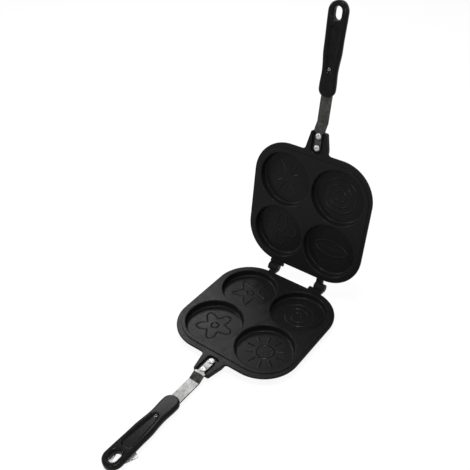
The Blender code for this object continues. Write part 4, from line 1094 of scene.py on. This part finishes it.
def build_floor():
    """A pale table that shows the shadow softly and stays white to the eye and in reflections."""
    side = (-FLOOR_REACH, FLOOR_REACH)
    corners = level_ring(rectangle(side, side), 0)
    floor = mesh_piece("floor", corners, [(0, 1, 2, 3)])
    floor.location.z = FLOOR_LEVEL
    material = bpy.data.materials.new("pale table")
    material.use_nodes = True
    tree = material.node_tree
    tree.nodes.clear()
    share = add_node(tree, "ShaderNodeMath", {"operation": "MULTIPLY"}, {1: FLOOR_WHITE_SHARE},
                     {0: seen_directly(tree)})
    board = add_node(tree, "ShaderNodeBsdfDiffuse", sockets={"Color": FLOOR_COLOUR})
    white = add_node(tree, "ShaderNodeEmission", sockets={"Color": WHITE, "Strength": 1.0})
    mix = add_node(tree, "ShaderNodeMixShader",
                   links={0: share.outputs[0], 1: board.outputs[0], 2: white.outputs[0]})
    add_node(tree, "ShaderNodeOutputMaterial", links={"Surface": mix.outputs[0]})
    floor.data.materials.append(material)


def build_world():
    """A dim white room that looks plain white to the eye and in reflections."""
    world = bpy.data.worlds.new("studio")
    bpy.context.scene.world = world
    world.use_nodes = True
    tree = world.node_tree
    tree.nodes.clear()
    dim = add_node(tree, "ShaderNodeBackground", sockets={"Color": WHITE, "Strength": WORLD_STRENGTH})
    white = add_node(tree, "ShaderNodeBackground", sockets={"Color": WHITE, "Strength": 1.0})
    mix = add_node(tree, "ShaderNodeMixShader",
                   links={0: seen_directly(tree), 1: dim.outputs[0], 2: white.outputs[0]})
    add_node(tree, "ShaderNodeOutputWorld", links={"Surface": mix.outputs[0]})


def add_softbox(name, place, aim, width, power):
    light = bpy.data.lights.new(name, "AREA")
    light.shape = "SQUARE"
    light.size = width
    light.energy = power
    lamp = bpy.data.objects.new(name, light)
    lamp.location = place
    lamp.rotation_euler = (Vector(aim) - Vector(place)).to_track_quat("-Z", "Y").to_euler()
    bpy.context.scene.collection.objects.link(lamp)


def build_camera():
    """The photograph's view: direction, roll, distance and focal length, as solved from the rims."""
    turn, rise, roll = (math.radians(angle) for angle in (CAMERA_TURN, CAMERA_RISE, CAMERA_ROLL))
    back = Vector((math.sin(turn) * math.cos(rise), -math.cos(turn) * math.cos(rise), math.sin(rise)))
    right = Vector((0, 0, 1)).cross(back).normalized()
    up = back.cross(right)
    rolled_right = math.cos(roll) * right + math.sin(roll) * up
    rolled_up = math.cos(roll) * up - math.sin(roll) * right
    target = LOWER_PLACE @ Vector(CAMERA_TARGET)
    camera = bpy.data.objects.new("camera", bpy.data.cameras.new("camera"))
    camera.data.sensor_width = SENSOR_MM
    camera.data.lens = FOCAL_PIXELS / FRAME_PIXELS * SENSOR_MM
    camera.data.clip_start = CAMERA_NEAR
    basis = Matrix((rolled_right, rolled_up, back)).transposed().to_4x4()
    camera.matrix_world = Matrix.Translation(target + back * CAMERA_DISTANCE) @ basis
    bpy.context.scene.collection.objects.link(camera)
    bpy.context.scene.camera = camera


build_floor()
build_world()
build_camera()
for softbox in SOFTBOXES:
    add_softbox(*softbox)
bpy.context.scene.view_settings.view_transform = "Standard"
